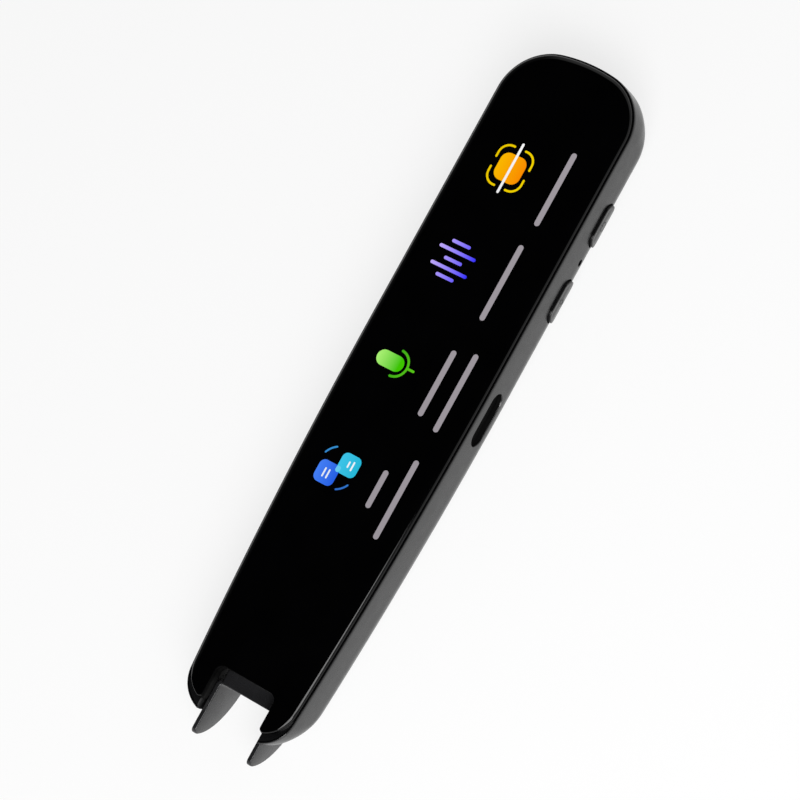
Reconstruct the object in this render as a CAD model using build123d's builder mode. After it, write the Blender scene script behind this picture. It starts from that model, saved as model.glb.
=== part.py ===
from build123d import *
import os
from math import cos, radians, sqrt

# Handheld scanning translator, lying on its back.
# X runs across the case, with the buttons on +X. Y runs along it, from the scan tip at -Y to
# the socket end at +Y. Z rises from the flat back, z = 0, to the front glass. Millimetres.

# ---- Case form ----
body_width = 30.0        # across the parallel side walls
body_top = 73.7          # crown of the socket end
shell_bottom = -70.2     # end of the shell beside the scan tip
taper_start = 11.7       # the side walls run straight above this height
taper_radius = 1089.0    # and close in on this arc below it
crown_radius = 34.0      # bow of the socket end, seen from the front
top_corner = 11.0        # corner between crown and side wall
tip_corner = 7.3         # corner between side wall and tip
shell_depth = 13.3       # back face to front rim
side_roll = 6.3          # roll from the back into the side walls
top_roll = 10.0          # roll from the back into the socket end
tip_sweep = 17.0         # length over which the back sweeps up to the tip
tip_upright = 1.3        # upright wall left above that sweep
form_steps = 5           # sections of the outside over the side roll
cavity_steps = 3         # sections of the inside over the same roll
wall = 1.5               # shell wall

# ---- Clearances ----
slide_gap = 0.15         # either side of a piece that slides
fit_gap = 0.1            # either side of a piece that is laid in place
pin_gap = 0.06           # radial, pin running in a guide hole
screw_gap = 0.03         # radial, screw in its pilot hole
film_gap = 0.05          # film of glue behind a stuck-on piece

# ---- Front glass and display ----
glass_thickness = 1.1
glass_side_inset = 0.5   # glass edge inside the shell's side wall
glass_top_inset = 0.55   # glass edge inside the crown
glass_tip_inset = 2.0    # glass edge inside the tip, where the rim shows
glass_edge_round = 0.6
glass_notch_half = 6.8   # half width of the notch that the scan hood shows in
glass_notch_top = -60.5
glass_notch_corner = 1.4
lobe_corner = 0.9        # lower inside corners of the lobes beside the notch
display_side = 3.2       # display edge inside the shell's side wall
display_low = -40.0
display_high = 64.0
display_thickness = 1.1

# ---- Mid frame and boards ----
frame_depth = 1.7        # rim to underside
board_gap = 0.3          # frame underside to board, the height of the standoffs
board_thickness = 0.8
board_side = 4.2         # board edge inside the shell's side wall
board_high = 56.0
board_low = -43.0        # full width ends here
board_foot_half = 8.5    # narrow foot, down to the carrier lugs
board_foot_low = -50.7

# ---- Shell notch for the scan hood ----
notch_half = 7.3
notch_top = -59.7
notch_corner = 1.3
cheek = 1.2              # wall left beside the notch
cross_wall = 1.5         # wall left above the notch, which the hood neck slides through

# ---- Scan hood ----
hood_half = 7.1         # outside of the legs
hood_skin = 0.95         # legs and web
hood_web_top = -62.65
hood_corner = 1.6
hood_inner_corner = 0.9
leg_drop = 0.8           # front edge of the legs below the mid frame
leg_rear = 0.1           # rear edge of the web
leg_tip = -74.45
leg_sweep = 13.2         # length of the quarter ellipse behind each leg
leg_tip_round = 1.2
neck_rear = 2.8
neck_round = 0.8
neck_wall = 1.0
ear_half = 8.4           # ears that stop the hood behind the cross wall
ear_low = 4.0
ear_high = 9.8
ear_length = 1.6
hood_travel = 1.2
window_thickness = 0.8
window_view_half = 4.4   # clear opening in the web
window_view_rise = 2.7

# ---- Guide pins, springs and carrier ----
pin_radius = 0.6
pin_x = 7.3
pin_z = 5.3
pin_head_radius = 1.05
pin_head_length = 0.6
pin_stop_gap = 0.1
spring_length = 3.3
spring_radius = 1.0      # coil centre line
spring_wire = 0.32
spring_turns = 4
wire_sides = 4           # square wire
spring_seat_gap = 0.02
carrier_thickness = 2.0
carrier_half = 8.5
carrier_low = 2.6
lug_inner = 5.2
lug_length = 3.7
lug_thickness = 1.0

# ---- Camera, lamps and tip switch ----
camera_side = 6.2
camera_length = 5.0
camera_stand = 0.7       # body in front of the carrier
barrel_radius = 2.5
barrel_length = 3.0
lens_radius = 1.8
lens_rise = 0.5
lamp_board_thickness = 0.6
lamp_board_width = 9.8
lamp_board_height = 6.0
lamp_width = 1.2
lamp_height = 2.4
lamp_x = 3.9
lamp_depth = 0.8
tip_switch_width = 2.4
tip_switch_height = 2.2
tip_switch_x = -7.2
tip_switch_z = 8.7
tip_switch_gap = 0.05    # left when the hood is pushed right in

# ---- Side buttons ----
button_length = 9.0
button_width = 5.1
button_z = 5.8
button_proud = 0.5
button_round = 0.35
button_travel = 0.3
power_y = 47.4
voice_y = 30.85
flange_length = 11.2
flange_width = 3.2
flange_thickness = 0.7
button_seat = 1.7        # side wall's face to the flange's seat
plunger_radius = 0.6
plunger_length = 0.6
plunger_rest_gap = 0.02
switch_length = 4.6
switch_width = 3.2
switch_thickness = 0.8
switch_well = 0.7        # depth of the plunger's well
switch_board_thickness = 0.8
switch_board_width = 4.6
switch_board_margin = 3.0
rib_length = 1.6         # ribs that the switch board leans on
mic_hole_radius = 0.65
mic_length = 2.75
mic_width = 1.85
mic_thickness = 0.9

# ---- Card slot ----
slot_y = 3.95
slot_length = 12.3
slot_height = 0.8
slot_drop = 1.1          # middle of the slit below the board
scoop_length = 11.2
scoop_ahead = 1.5        # scoop's edges in front of the slit and behind it
scoop_behind = 2.8
scoop_depth = 0.9
socket_length = 14.4
socket_reach = 14.5      # depth of the card socket
socket_wall = 0.3
card_recess = 0.3        # socket mouth behind the inside of the wall

# ---- Socket end ----
port_z = 6.5
usb_x = 3.0
usb_width = 8.94
usb_height = 3.16
usb_wall = 0.3
usb_length = 7.3
usb_tongue_width = 6.7
usb_tongue_height = 0.7
usb_mouth = 70.6         # mouth of the port's shell, behind the rounded end
port_gap = 0.2
jack_x = -4.9
jack_width = 5.8
jack_height = 5.0
jack_length = 8.9         # body behind the nose
jack_bore = 1.8          # radius of the 3.5 mm plug's bore
jack_bore_length = 9.3
jack_seat = 68.1         # front of the jack's body, inside the shell
jack_nose = 2.3          # radius of the nose that meets the shell's hole
jack_nose_length = 0.9
jack_chamfer = 0.7       # on the hole in the shell, which is as wide as the bore
chamfer_angle = 45.0
io_board_half = 8.0
io_board_low = 57.5
io_board_high = 68.0
io_board_thickness = 0.8
io_post_radius = 1.0
io_post_y = 61.3
io_post_left = 0.2
io_post_right = 7.0

# ---- Grille and speaker ----
grille_x = -1.2
grille_width = 12.6
grille_low = 42.3
grille_high = 59.0
grille_ramp = 2.2        # length of the ramp at the lower end
fin_count = 5
fin_pitch = 2.36
fin_width = 0.55
fin_depth = 1.2
fin_shift = -0.55        # fins stand off the pocket's centre, towards -X
groove_width = 0.7
groove_depth = 0.6
groove_up = 3.1          # run-out towards the socket end
groove_down = 4.2        # run-out towards the tip
mesh_thickness = 0.2
gasket_thickness = 0.4
gasket_width = 1.2
speaker_depth = 3.6
speaker_basket = 1.0     # rim left round the speaker's magnet

# ---- Battery ----
battery_side = 5.4       # battery edge inside the shell's side wall
battery_low = -42.5
battery_high = 21.0
battery_depth = 5.2
battery_round = 1.2
pad_thickness = 0.5
pad_margin = 2.0

# ---- Radio, processor, flex ----
can_width = 17.0
can_length = 17.0
can_depth = 1.6
can_y = 22.0
can_x = -1.5
can_sheet = 0.2
processor_side = 12.0
processor_depth = 0.9
antenna_low = 30.0
antenna_high = 54.0
antenna_width = 2.6
antenna_thickness = 0.25
antenna_z = 8.6
flex_half = 5.0
flex_thickness = 0.15
flex_reach = 2.0
flex_slot = 3.0

# ---- Screws ----
screw_radius = 0.7
screw_head_radius = 1.25
screw_head = 0.6
case_screw_length = 5.0
case_top_side = 5.0      # screws inside the shell's side wall
case_top_y = 66.0
case_tip_side = 4.6
case_tip_y = -48.6
boss_radius = 1.7
board_top_side = 6.5
board_top_y = 53.0
board_tip_x = 7.0
board_tip_y = -48.9
standoff_radius = 1.5

# ---- Levels and stations that follow from these ----
display_z = shell_depth - display_thickness
frame_z = shell_depth - frame_depth
board_top_z = frame_z - board_gap
board_z = board_top_z - board_thickness
tip_rise = shell_depth - tip_upright
leg_front = frame_z - leg_drop
slot_z = board_z - slot_drop
scoop_front = slot_z + scoop_ahead
scoop_rear = slot_z - scoop_behind
side_face = body_width / 2
inner_side = side_face - wall
display_half = side_face - display_side
board_half = side_face - board_side
battery_half = side_face - battery_side
case_top_x = side_face - case_top_side
case_tip_x = side_face - case_tip_side
board_top_x = side_face - board_top_side
cross_wall_y = notch_top + cross_wall
neck_front = frame_z - 2 * fit_gap
web_under = hood_web_top - hood_skin
leg_inner = hood_half - hood_skin
neck_half = leg_inner
scan_z = (neck_rear + neck_front) / 2
tunnel_width = 2 * (neck_half - neck_wall)
tunnel_height = neck_front - neck_rear - 2 * neck_wall
ear_stop = cross_wall_y + fit_gap
ear_top = ear_stop + ear_length
carrier_front = ear_top + spring_length
carrier_back = carrier_front + carrier_thickness
camera_front = carrier_front - camera_stand
screw_depth_z = display_z - fit_gap
io_board_z = port_z + usb_height / 2
flange_x = side_face - button_seat - fit_gap / 2
plunger_end = flange_x - flange_thickness - plunger_rest_gap
switch_face = plunger_end - button_travel - fit_gap
switch_board_x = switch_face - switch_thickness
switch_board_y = (power_y + voice_y) / 2
switch_board_length = power_y - voice_y + switch_length + 2 * switch_board_margin
fin_first_x = grille_x + fin_shift - fin_pitch * (fin_count - 1) / 2
fin_places = [(fin_first_x + fin_pitch * number, 0) for number in range(fin_count)]
case_screw_places = [(x, y) for x, y in ((case_top_x, case_top_y), (-case_top_x, case_top_y),
                                         (case_tip_x, case_tip_y), (-case_tip_x, case_tip_y))]
board_top_places = [(board_top_x, board_top_y), (-board_top_x, board_top_y)]
board_tip_places = [(board_tip_x, board_tip_y), (-board_tip_x, board_tip_y)]
button_places = {"power": power_y, "voice": voice_y}

os.makedirs("parts", exist_ok=True)


def save(built, name):
    """Label a finished piece and write it out under its own name."""
    built.part.label = name
    export_step(built.part, f"parts/{name}.step")


# ---- Shared shapes ----
def notch_edges(middle, corner, taper_end):
    """Edges of the +X lobe beside the glass's notch, for the BuildLine that is open.

    The lobe's arc touches the tip corner, a circle of radius corner about middle, from inside,
    or the straight tip line where the lobe lies nearer to the axis.
    """
    corner_x, corner_y = middle
    lobe_x = glass_notch_half + lobe_corner
    aside = max(lobe_x - corner_x, 0)
    lobe_fall = sqrt((corner - lobe_corner)**2 - aside**2)
    lobe_y = corner_y - lobe_fall
    share = corner / (corner - lobe_corner)
    lobe_end = (lobe_x - aside + aside * share, corner_y - lobe_fall * share)
    notch_low = glass_notch_top - glass_notch_corner
    if aside > 0:
        TangentArc(lobe_end, taper_end, tangent=(lobe_fall, aside))
    else:
        Line(lobe_end, (corner_x, corner_y - corner))
        TangentArc((corner_x, corner_y - corner), taper_end, tangent=(1, 0))
    TangentArc((glass_notch_half, lobe_y), lobe_end, tangent=(0, -1))
    Line((glass_notch_half, lobe_y), (glass_notch_half, notch_low))
    TangentArc((glass_notch_half, notch_low), (glass_notch_half - glass_notch_corner, glass_notch_top),
               tangent=(0, 1))


def outline(z, side, top, tip, notched=False):
    """Plan of the case at height z, drawn in from the full plan by the three insets.

    Every arc touches its neighbours. With notched, the glass's notch is cut in from the tip,
    and the lobes beside it are rounded.
    """
    half = side_face - side
    crown = body_top - top
    end = shell_bottom + tip
    # corner between crown and side wall: its centre lies inside both by the corner's radius
    shoulder = top_corner - side
    shoulder_x = half - shoulder
    bow_y = crown - crown_radius
    shoulder_y = bow_y + sqrt((crown_radius - shoulder)**2 - shoulder_x**2)
    crown_share = crown_radius / (crown_radius - shoulder)
    crown_end = (shoulder_x * crown_share, bow_y + (shoulder_y - bow_y) * crown_share)
    crown_start = (-shoulder_x * crown_share, crown_end[1])
    # corner between the taper's arc and the tip
    corner = tip_corner - side
    taper_x = half - taper_radius
    corner_y = end + corner
    corner_x = taper_x + sqrt((taper_radius - corner)**2 - (taper_start - corner_y)**2)
    taper_share = taper_radius / (taper_radius - corner)
    taper_end = (taper_x + (corner_x - taper_x) * taper_share,
                 taper_start + (corner_y - taper_start) * taper_share)
    with BuildSketch(Plane.XY.offset(z)) as plan:
        with BuildLine():
            TangentArc((half, shoulder_y), crown_end, tangent=(0, 1))
            Line((half, shoulder_y), (half, taper_start))
            TangentArc((half, taper_start), taper_end, tangent=(0, -1))
            if notched:
                notch_edges((corner_x, corner_y), corner, taper_end)
            else:
                TangentArc((corner_x, end), taper_end, tangent=(1, 0))
            mirror(about=Plane.YZ)
            ThreePointArc(crown_start, (0, crown), crown_end)
            if notched:
                notch_in = glass_notch_half - glass_notch_corner
                Line((-notch_in, glass_notch_top), (notch_in, glass_notch_top))
            else:
                Line((-corner_x, end), (corner_x, end))
        make_face()
    return plan.sketch


def roll_inset(reach, rise, height):
    """How far a quarter-elliptical roll of this reach and rise stands in at a height."""
    left = (rise - min(height, rise)) / rise
    return reach * (1 - sqrt(1 - left**2))


def form_section(inset, height):
    """Plan of the moulded form at a height above its floor, inset all round by inset."""
    side = inset + roll_inset(side_roll - inset, side_roll - inset, height)
    top = inset + roll_inset(top_roll - inset, top_roll - inset, height)
    tip = inset + roll_inset(tip_sweep - inset, tip_rise - inset, height)
    return outline(inset + height, side, top, tip)


def case_form(inset, rim_z, steps, ruled=False):
    """The moulded form, lofted through its plans from the floor up to rim_z."""
    bend = side_roll - inset
    heights = [bend * (1 - cos(radians(90 * step / steps))) for step in range(steps + 1)]
    heights += [(side_roll + top_roll) / 2 - inset, top_roll - inset, tip_rise - inset]
    with BuildPart() as form:
        loft(sections=[form_section(inset, height) for height in heights], ruled=ruled)
        add(form_section(inset, tip_rise - inset))
        extrude(amount=rim_z - tip_rise)
    return form.part


def notch_plan(z, half, top, corner):
    """Plan of a notch in from the tip, with rounded inner corners, for cutting."""
    reach = top - leg_tip + wall
    with BuildSketch(Plane.XY.offset(z)) as plan:
        with Locations((0, top - reach / 2)):
            Rectangle(2 * half, reach)
        fillet(plan.vertices().group_by(Axis.Y)[-1], corner)
    return plan.sketch


def end_plane(x, z):
    """Plane that touches the rolled socket end at the place x, z."""
    over = (top_roll - z) / top_roll
    bow = sqrt(crown_radius**2 - x**2)
    y = body_top - roll_inset(top_roll, top_roll, z) - crown_radius + bow
    return Plane(origin=(x, y, z), z_dir=(x / bow, 1, -over / sqrt(1 - over**2)))


jack_rim_plane = end_plane(jack_x, port_z)
outer_form = case_form(0, shell_depth, form_steps)
inner_form = case_form(wall, shell_depth + wall, cavity_steps, ruled=True)
button_form = case_form(-button_proud, shell_depth, form_steps)

# ---- Rear shell ----
with BuildPart() as cavity:
    add(inner_form)
    with BuildSketch(Plane.XY):
        with Locations((0, cross_wall_y - tip_sweep / 2)):
            Rectangle(2 * (notch_half + cheek), tip_sweep)
    extrude(amount=frame_z, mode=Mode.SUBTRACT)

with BuildPart() as rear_shell:
    add(outer_form)
    add(cavity.part, mode=Mode.SUBTRACT)
    # case screw bosses, from the floor up to the mid frame
    with BuildSketch(Plane.XY.offset(wall)):
        with Locations(case_screw_places):
            Circle(boss_radius)
    extrude(amount=frame_z - wall)
    # posts under the socket board
    with BuildSketch(Plane.XY.offset(wall)):
        with Locations((io_post_left, io_post_y), (io_post_right, io_post_y)):
            Circle(io_post_radius)
    extrude(amount=io_board_z - wall)
    # ribs on the side wall that the switch board leans on
    with BuildSketch(Plane.YZ.offset(switch_board_x)):
        with Locations((switch_board_y, button_z)):
            Rectangle(switch_board_length, switch_board_width)
            Rectangle(switch_board_length - 2 * rib_length, switch_board_width, mode=Mode.SUBTRACT)
    extrude(amount=side_face - switch_board_x)
    add(outer_form, mode=Mode.INTERSECT)
    # pilot holes of the case screws
    with BuildSketch(Plane.XY.offset(frame_z - case_screw_length)):
        with Locations(case_screw_places):
            Circle(screw_radius + screw_gap)
    extrude(amount=case_screw_length, mode=Mode.SUBTRACT)
    # notch for the scan hood, and the way for its neck through the cross wall
    add(notch_plan(0, notch_half, notch_top, notch_corner))
    extrude(amount=shell_depth, mode=Mode.SUBTRACT)
    with BuildSketch(Plane.XZ.offset(-cross_wall_y)):
        with Locations((0, (neck_rear - slide_gap + frame_z) / 2)):
            Rectangle(2 * (neck_half + slide_gap), frame_z - neck_rear + slide_gap)
    extrude(amount=2 * cross_wall, mode=Mode.SUBTRACT)
    # buttons: a through slot with a flat seat for the flange on the inside
    for button_y in button_places.values():
        with BuildSketch(Plane.YZ.offset(inner_side - wall)):
            with Locations((button_y, button_z)):
                SlotOverall(button_length + 2 * slide_gap, button_width + 2 * slide_gap)
        extrude(amount=3 * wall, mode=Mode.SUBTRACT)
        with BuildSketch(Plane.YZ.offset(side_face - button_seat)):
            with Locations((button_y, button_z)):
                Rectangle(flange_length + 2 * slide_gap, flange_width + 2 * slide_gap)
        extrude(amount=-wall, mode=Mode.SUBTRACT)
    # microphone hole between the buttons
    with BuildSketch(Plane.YZ.offset(inner_side - wall)):
        with Locations(((power_y + voice_y) / 2, button_z)):
            Circle(mic_hole_radius)
    extrude(amount=3 * wall, mode=Mode.SUBTRACT)
    # card slot and the fingernail scoop around it
    with BuildSketch(Plane.YZ.offset(side_face - scoop_depth)):
        with Locations((slot_y, (scoop_front + scoop_rear) / 2)):
            SlotOverall(scoop_length, scoop_front - scoop_rear)
    extrude(amount=wall, mode=Mode.SUBTRACT)
    with BuildSketch(Plane.YZ.offset(inner_side - wall)):
        with Locations((slot_y, slot_z)):
            Rectangle(slot_length, slot_height)
    extrude(amount=3 * wall, mode=Mode.SUBTRACT)
    # socket end: USB-C opening and the audio jack's chamfered hole
    with BuildSketch(Plane.XZ.offset(-body_top)):
        with Locations((usb_x, port_z)):
            SlotOverall(usb_width + 2 * port_gap, usb_height + 2 * port_gap)
        with Locations((jack_x, port_z)):
            Circle(jack_bore)
    extrude(amount=body_top - jack_seat, mode=Mode.SUBTRACT)
    with BuildSketch(Plane.XZ.offset(-jack_seat - jack_nose_length - fit_gap)):
        with Locations((jack_x, port_z)):
            Circle(jack_nose + fit_gap)
    extrude(amount=jack_nose_length, mode=Mode.SUBTRACT)
    with BuildSketch(jack_rim_plane):
        Circle(jack_bore + jack_chamfer)
    extrude(amount=-jack_chamfer - fit_gap, taper=chamfer_angle, mode=Mode.SUBTRACT)
    # grille: a pocket right through the back, with a ramp at its lower end
    with BuildSketch(Plane.YZ.offset(grille_x)):
        with BuildLine():
            Polyline((grille_low, 0), (grille_high, 0), (grille_high, wall),
                     (grille_low + grille_ramp, wall), close=True)
        make_face()
    extrude(amount=grille_width / 2, both=True, mode=Mode.SUBTRACT)
    # flush fins across the pocket
    with BuildSketch(Plane.XY):
        with Locations((0, (grille_low + grille_high) / 2)):
            with Locations(fin_places):
                Rectangle(fin_width, grille_high - grille_low + 2 * fin_width)
    extrude(amount=fin_depth)
    # a narrow groove along each fin, which runs out past both ends of the pocket
    for fin_x, _ in fin_places:
        groove_left = fin_x + fin_width / 2
        groove_right = groove_left + groove_width
        groove_middle = (groove_left + groove_right) / 2
        with BuildSketch(Plane.XY):
            with BuildLine():
                Polyline((groove_left, grille_low), (groove_middle, grille_low - groove_down),
                         (groove_right, grille_low), (groove_right, grille_high),
                         (groove_middle, grille_high + groove_up), (groove_left, grille_high), close=True)
            make_face()
        extrude(amount=groove_depth, mode=Mode.SUBTRACT)
save(rear_shell, "rear_shell")


# ---- Mid frame ----
frame_plan = outline(frame_z, wall + fit_gap, wall + fit_gap, wall + fit_gap, notched=True)
with BuildPart() as mid_frame:
    add(frame_plan)
    extrude(amount=frame_depth)
    # pocket for the display
    with BuildSketch(Plane.XY.offset(display_z)):
        with Locations((0, (display_low + display_high) / 2)):
            Rectangle(2 * (display_half + fit_gap), display_high - display_low + 2 * fit_gap)
    extrude(amount=display_thickness, mode=Mode.SUBTRACT)
    # slot for the display's flex
    with BuildSketch(Plane.XY.offset(frame_z)):
        with Locations((0, display_low - flex_slot / 2)):
            Rectangle(2 * (flex_half + fit_gap), flex_slot)
    extrude(amount=frame_depth, mode=Mode.SUBTRACT)
    # standoffs down to the board
    with BuildSketch(Plane.XY.offset(board_top_z)):
        with Locations(board_top_places + board_tip_places):
            Circle(standoff_radius)
    extrude(amount=board_gap)
    with BuildSketch(Plane.XY.offset(board_top_z)):
        with Locations(board_top_places + board_tip_places):
            Circle(screw_radius + screw_gap)
    extrude(amount=display_z - board_top_z, mode=Mode.SUBTRACT)
    # holes and counterbores for the case screws
    with BuildSketch(Plane.XY.offset(frame_z)):
        with Locations(case_screw_places):
            Circle(screw_radius + fit_gap)
    extrude(amount=frame_depth, mode=Mode.SUBTRACT)
    with BuildSketch(Plane.XY.offset(shell_depth)):
        with Locations(case_screw_places):
            Circle(screw_head_radius + fit_gap)
    extrude(amount=-screw_head - fit_gap, mode=Mode.SUBTRACT)
save(mid_frame, "mid_frame")

# ---- Front glass, display and its flex ----
glass_plan = outline(shell_depth, glass_side_inset, glass_top_inset, glass_tip_inset, notched=True)
with BuildPart() as front_glass:
    add(glass_plan)
    extrude(amount=glass_thickness)
    fillet(front_glass.faces().sort_by(Axis.Z)[-1].edges(), glass_edge_round)
save(front_glass, "front_glass")

with BuildPart() as display_panel:
    with BuildSketch(Plane.XY.offset(display_z)):
        with Locations((0, (display_low + display_high) / 2)):
            Rectangle(2 * display_half, display_high - display_low)
    extrude(amount=display_thickness)
save(display_panel, "display_panel")

with BuildPart() as display_flex:
    with BuildSketch(Plane.YZ):
        with BuildLine():
            flex_line = FilletPolyline(
                (display_low - flex_thickness / 2, display_z + flex_thickness),
                (display_low - flex_reach / 2, display_z + flex_thickness),
                (display_low - flex_reach / 2, board_top_z + flex_thickness / 2),
                (display_low - flex_slot + flex_thickness, board_top_z + flex_thickness / 2),
                radius=flex_thickness)
            offset(amount=flex_thickness / 2)
        make_face()
    extrude(amount=flex_half, both=True)
save(display_flex, "display_flex")

# ---- Boards ----
with BuildPart() as main_board:
    with BuildSketch(Plane.XY.offset(board_z)):
        with Locations((0, (board_high + board_low) / 2)):
            Rectangle(2 * board_half, board_high - board_low)
        with Locations((0, (board_low + board_foot_low) / 2)):
            Rectangle(2 * board_foot_half, board_low - board_foot_low)
        with Locations(board_top_places + board_tip_places):
            Circle(screw_radius + fit_gap, mode=Mode.SUBTRACT)
    extrude(amount=board_thickness)
save(main_board, "main_board")

with BuildPart() as shield_can:
    with BuildSketch(Plane.XY.offset(board_z - can_depth)):
        with Locations((can_x, can_y)):
            RectangleRounded(can_width, can_length, can_sheet * 2)
    extrude(amount=can_depth)
    with BuildSketch(Plane.XY.offset(board_z - can_depth + can_sheet)):
        with Locations((can_x, can_y)):
            RectangleRounded(can_width - 2 * can_sheet, can_length - 2 * can_sheet, can_sheet)
    extrude(amount=can_depth, mode=Mode.SUBTRACT)
save(shield_can, "shield_can")

with BuildPart() as processor:
    with BuildSketch(Plane.XY.offset(board_z - processor_depth)):
        with Locations((can_x, can_y)):
            Rectangle(processor_side, processor_side)
    extrude(amount=processor_depth)
save(processor, "processor")

socket_right = inner_side - card_recess
with BuildPart() as card_socket:
    with BuildSketch(Plane.XY.offset(board_z)):
        with Locations((socket_right - socket_reach / 2, slot_y)):
            Rectangle(socket_reach, socket_length)
    extrude(amount=-(board_z - slot_z + slot_height / 2 + socket_wall))
    with BuildSketch(Plane.YZ.offset(socket_right)):
        with Locations((slot_y, slot_z)):
            Rectangle(slot_length, slot_height)
    extrude(amount=socket_wall - socket_reach, mode=Mode.SUBTRACT)
save(card_socket, "card_socket")

with BuildPart() as wifi_antenna:
    with BuildSketch(Plane.YZ.offset(film_gap - inner_side)):
        with Locations(((antenna_low + antenna_high) / 2, antenna_z)):
            RectangleRounded(antenna_high - antenna_low, antenna_width, antenna_width / 4)
    extrude(amount=antenna_thickness)
save(wifi_antenna, "wifi_antenna")

# ---- Battery on its adhesive pad ----
battery_y = (battery_low + battery_high) / 2
with BuildPart() as battery_pad:
    with BuildSketch(Plane.XY.offset(wall)):
        with Locations((0, battery_y)):
            Rectangle(2 * (battery_half - pad_margin), battery_high - battery_low - 2 * pad_margin)
    extrude(amount=pad_thickness)
save(battery_pad, "battery_pad")

with BuildPart() as battery:
    with BuildSketch(Plane.XY.offset(wall + pad_thickness)):
        with Locations((0, battery_y)):
            Rectangle(2 * battery_half, battery_high - battery_low)
    extrude(amount=battery_depth)
    fillet(battery.edges().filter_by(Axis.Y), battery_round)
save(battery, "battery")

# ---- Speaker behind the grille ----
grille_y = (grille_low + grille_high) / 2
grille_length = grille_high - grille_low
with BuildPart() as speaker_mesh:
    with BuildSketch(Plane.XY.offset(wall)):
        with Locations((grille_x, grille_y)):
            Rectangle(grille_width, grille_length)
    extrude(amount=mesh_thickness)
save(speaker_mesh, "speaker_mesh")

with BuildPart() as speaker_gasket:
    with BuildSketch(Plane.XY.offset(wall + mesh_thickness)):
        with Locations((grille_x, grille_y)):
            Rectangle(grille_width, grille_length)
            Rectangle(grille_width - 2 * gasket_width, grille_length - 2 * gasket_width, mode=Mode.SUBTRACT)
    extrude(amount=gasket_thickness)
save(speaker_gasket, "speaker_gasket")

speaker_z = wall + mesh_thickness + gasket_thickness
with BuildPart() as speaker:
    with BuildSketch(Plane.XY.offset(speaker_z)):
        with Locations((grille_x, grille_y)):
            RectangleRounded(grille_width, grille_length, speaker_basket)
    extrude(amount=speaker_depth / 2)
    with BuildSketch(Plane.XY.offset(speaker_z + speaker_depth / 2)):
        with Locations((grille_x, grille_y)):
            RectangleRounded(grille_width - 2 * speaker_basket, grille_length - 2 * speaker_basket,
                             speaker_basket)
    extrude(amount=speaker_depth / 2)
save(speaker, "speaker")

# ---- Socket end ----
with BuildPart() as usb_c_port:
    with BuildSketch(Plane.XZ.offset(-usb_mouth)):
        with Locations((usb_x, port_z)):
            SlotOverall(usb_width, usb_height)
    extrude(amount=usb_length)
    with BuildSketch(Plane.XZ.offset(-usb_mouth)):
        with Locations((usb_x, port_z)):
            SlotOverall(usb_width - 2 * usb_wall, usb_height - 2 * usb_wall)
    extrude(amount=usb_length - usb_wall, mode=Mode.SUBTRACT)
    with BuildSketch(Plane.XZ.offset(-usb_mouth + usb_wall)):
        with Locations((usb_x, port_z)):
            Rectangle(usb_tongue_width, usb_tongue_height)
    extrude(amount=usb_length - usb_wall)
save(usb_c_port, "usb_c_port")

jack_mouth = jack_seat + jack_nose_length
with BuildPart() as audio_jack:
    with BuildSketch(Plane.XZ.offset(-jack_seat)):
        with Locations((jack_x, port_z)):
            Rectangle(jack_width, jack_height)
    extrude(amount=jack_length)
    with BuildSketch(Plane.XZ.offset(-jack_mouth)):
        with Locations((jack_x, port_z)):
            Circle(jack_nose)
    extrude(amount=jack_nose_length)
    with BuildSketch(Plane.XZ.offset(-jack_mouth)):
        with Locations((jack_x, port_z)):
            Circle(jack_bore)
    extrude(amount=jack_bore_length, mode=Mode.SUBTRACT)
save(audio_jack, "audio_jack")

with BuildPart() as io_board:
    with BuildSketch(Plane.XY.offset(io_board_z)):
        with Locations((0, (io_board_low + io_board_high) / 2)):
            Rectangle(2 * io_board_half, io_board_high - io_board_low)
        with Locations((jack_x, jack_seat - jack_length / 2)):
            Rectangle(jack_width, jack_length, mode=Mode.SUBTRACT)
    extrude(amount=io_board_thickness)
save(io_board, "io_board")

# ---- Side buttons, their plungers and switches ----
for button_name, button_y in button_places.items():
    with BuildPart() as side_button:
        with BuildSketch(Plane.YZ.offset(flange_x - flange_thickness)):
            with Locations((button_y, button_z)):
                SlotOverall(button_length, button_width)
        extrude(amount=wall + button_seat + flange_thickness)
        add(button_form, mode=Mode.INTERSECT)
        fillet(side_button.faces().sort_by(Axis.X)[-1].outer_wire().edges(), button_round)
        with BuildSketch(Plane.YZ.offset(flange_x - flange_thickness)):
            with Locations((button_y, button_z)):
                Rectangle(flange_length, flange_width)
        extrude(amount=flange_thickness)
        with BuildSketch(Plane.YZ.offset(flange_x)):
            with Locations((button_y, button_z)):
                Rectangle(2 * flange_length, 2 * button_width)
                SlotOverall(button_length, flange_width, mode=Mode.SUBTRACT)
        extrude(amount=-2 * flange_thickness, mode=Mode.SUBTRACT)
        with BuildSketch(Plane.YZ.offset(flange_x - flange_thickness)):
            with Locations((button_y, button_z)):
                Rectangle(flange_length, flange_width)
        extrude(amount=flange_thickness)
    save(side_button, f"{button_name}_button")

    with BuildPart() as plunger:
        with BuildSketch(Plane.YZ.offset(plunger_end)):
            with Locations((button_y, button_z)):
                Circle(plunger_radius)
        extrude(amount=-plunger_length)
    save(plunger, f"{button_name}_plunger")

with BuildPart() as side_switches:
    for button_y in button_places.values():
        with BuildSketch(Plane.YZ.offset(switch_board_x)):
            with Locations((button_y, button_z)):
                Rectangle(switch_length, switch_width)
        extrude(amount=switch_thickness)
        with BuildSketch(Plane.YZ.offset(switch_face)):
            with Locations((button_y, button_z)):
                Circle(plunger_radius + pin_gap)
        extrude(amount=-switch_well, mode=Mode.SUBTRACT)
save(side_switches, "side_switches")

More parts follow.
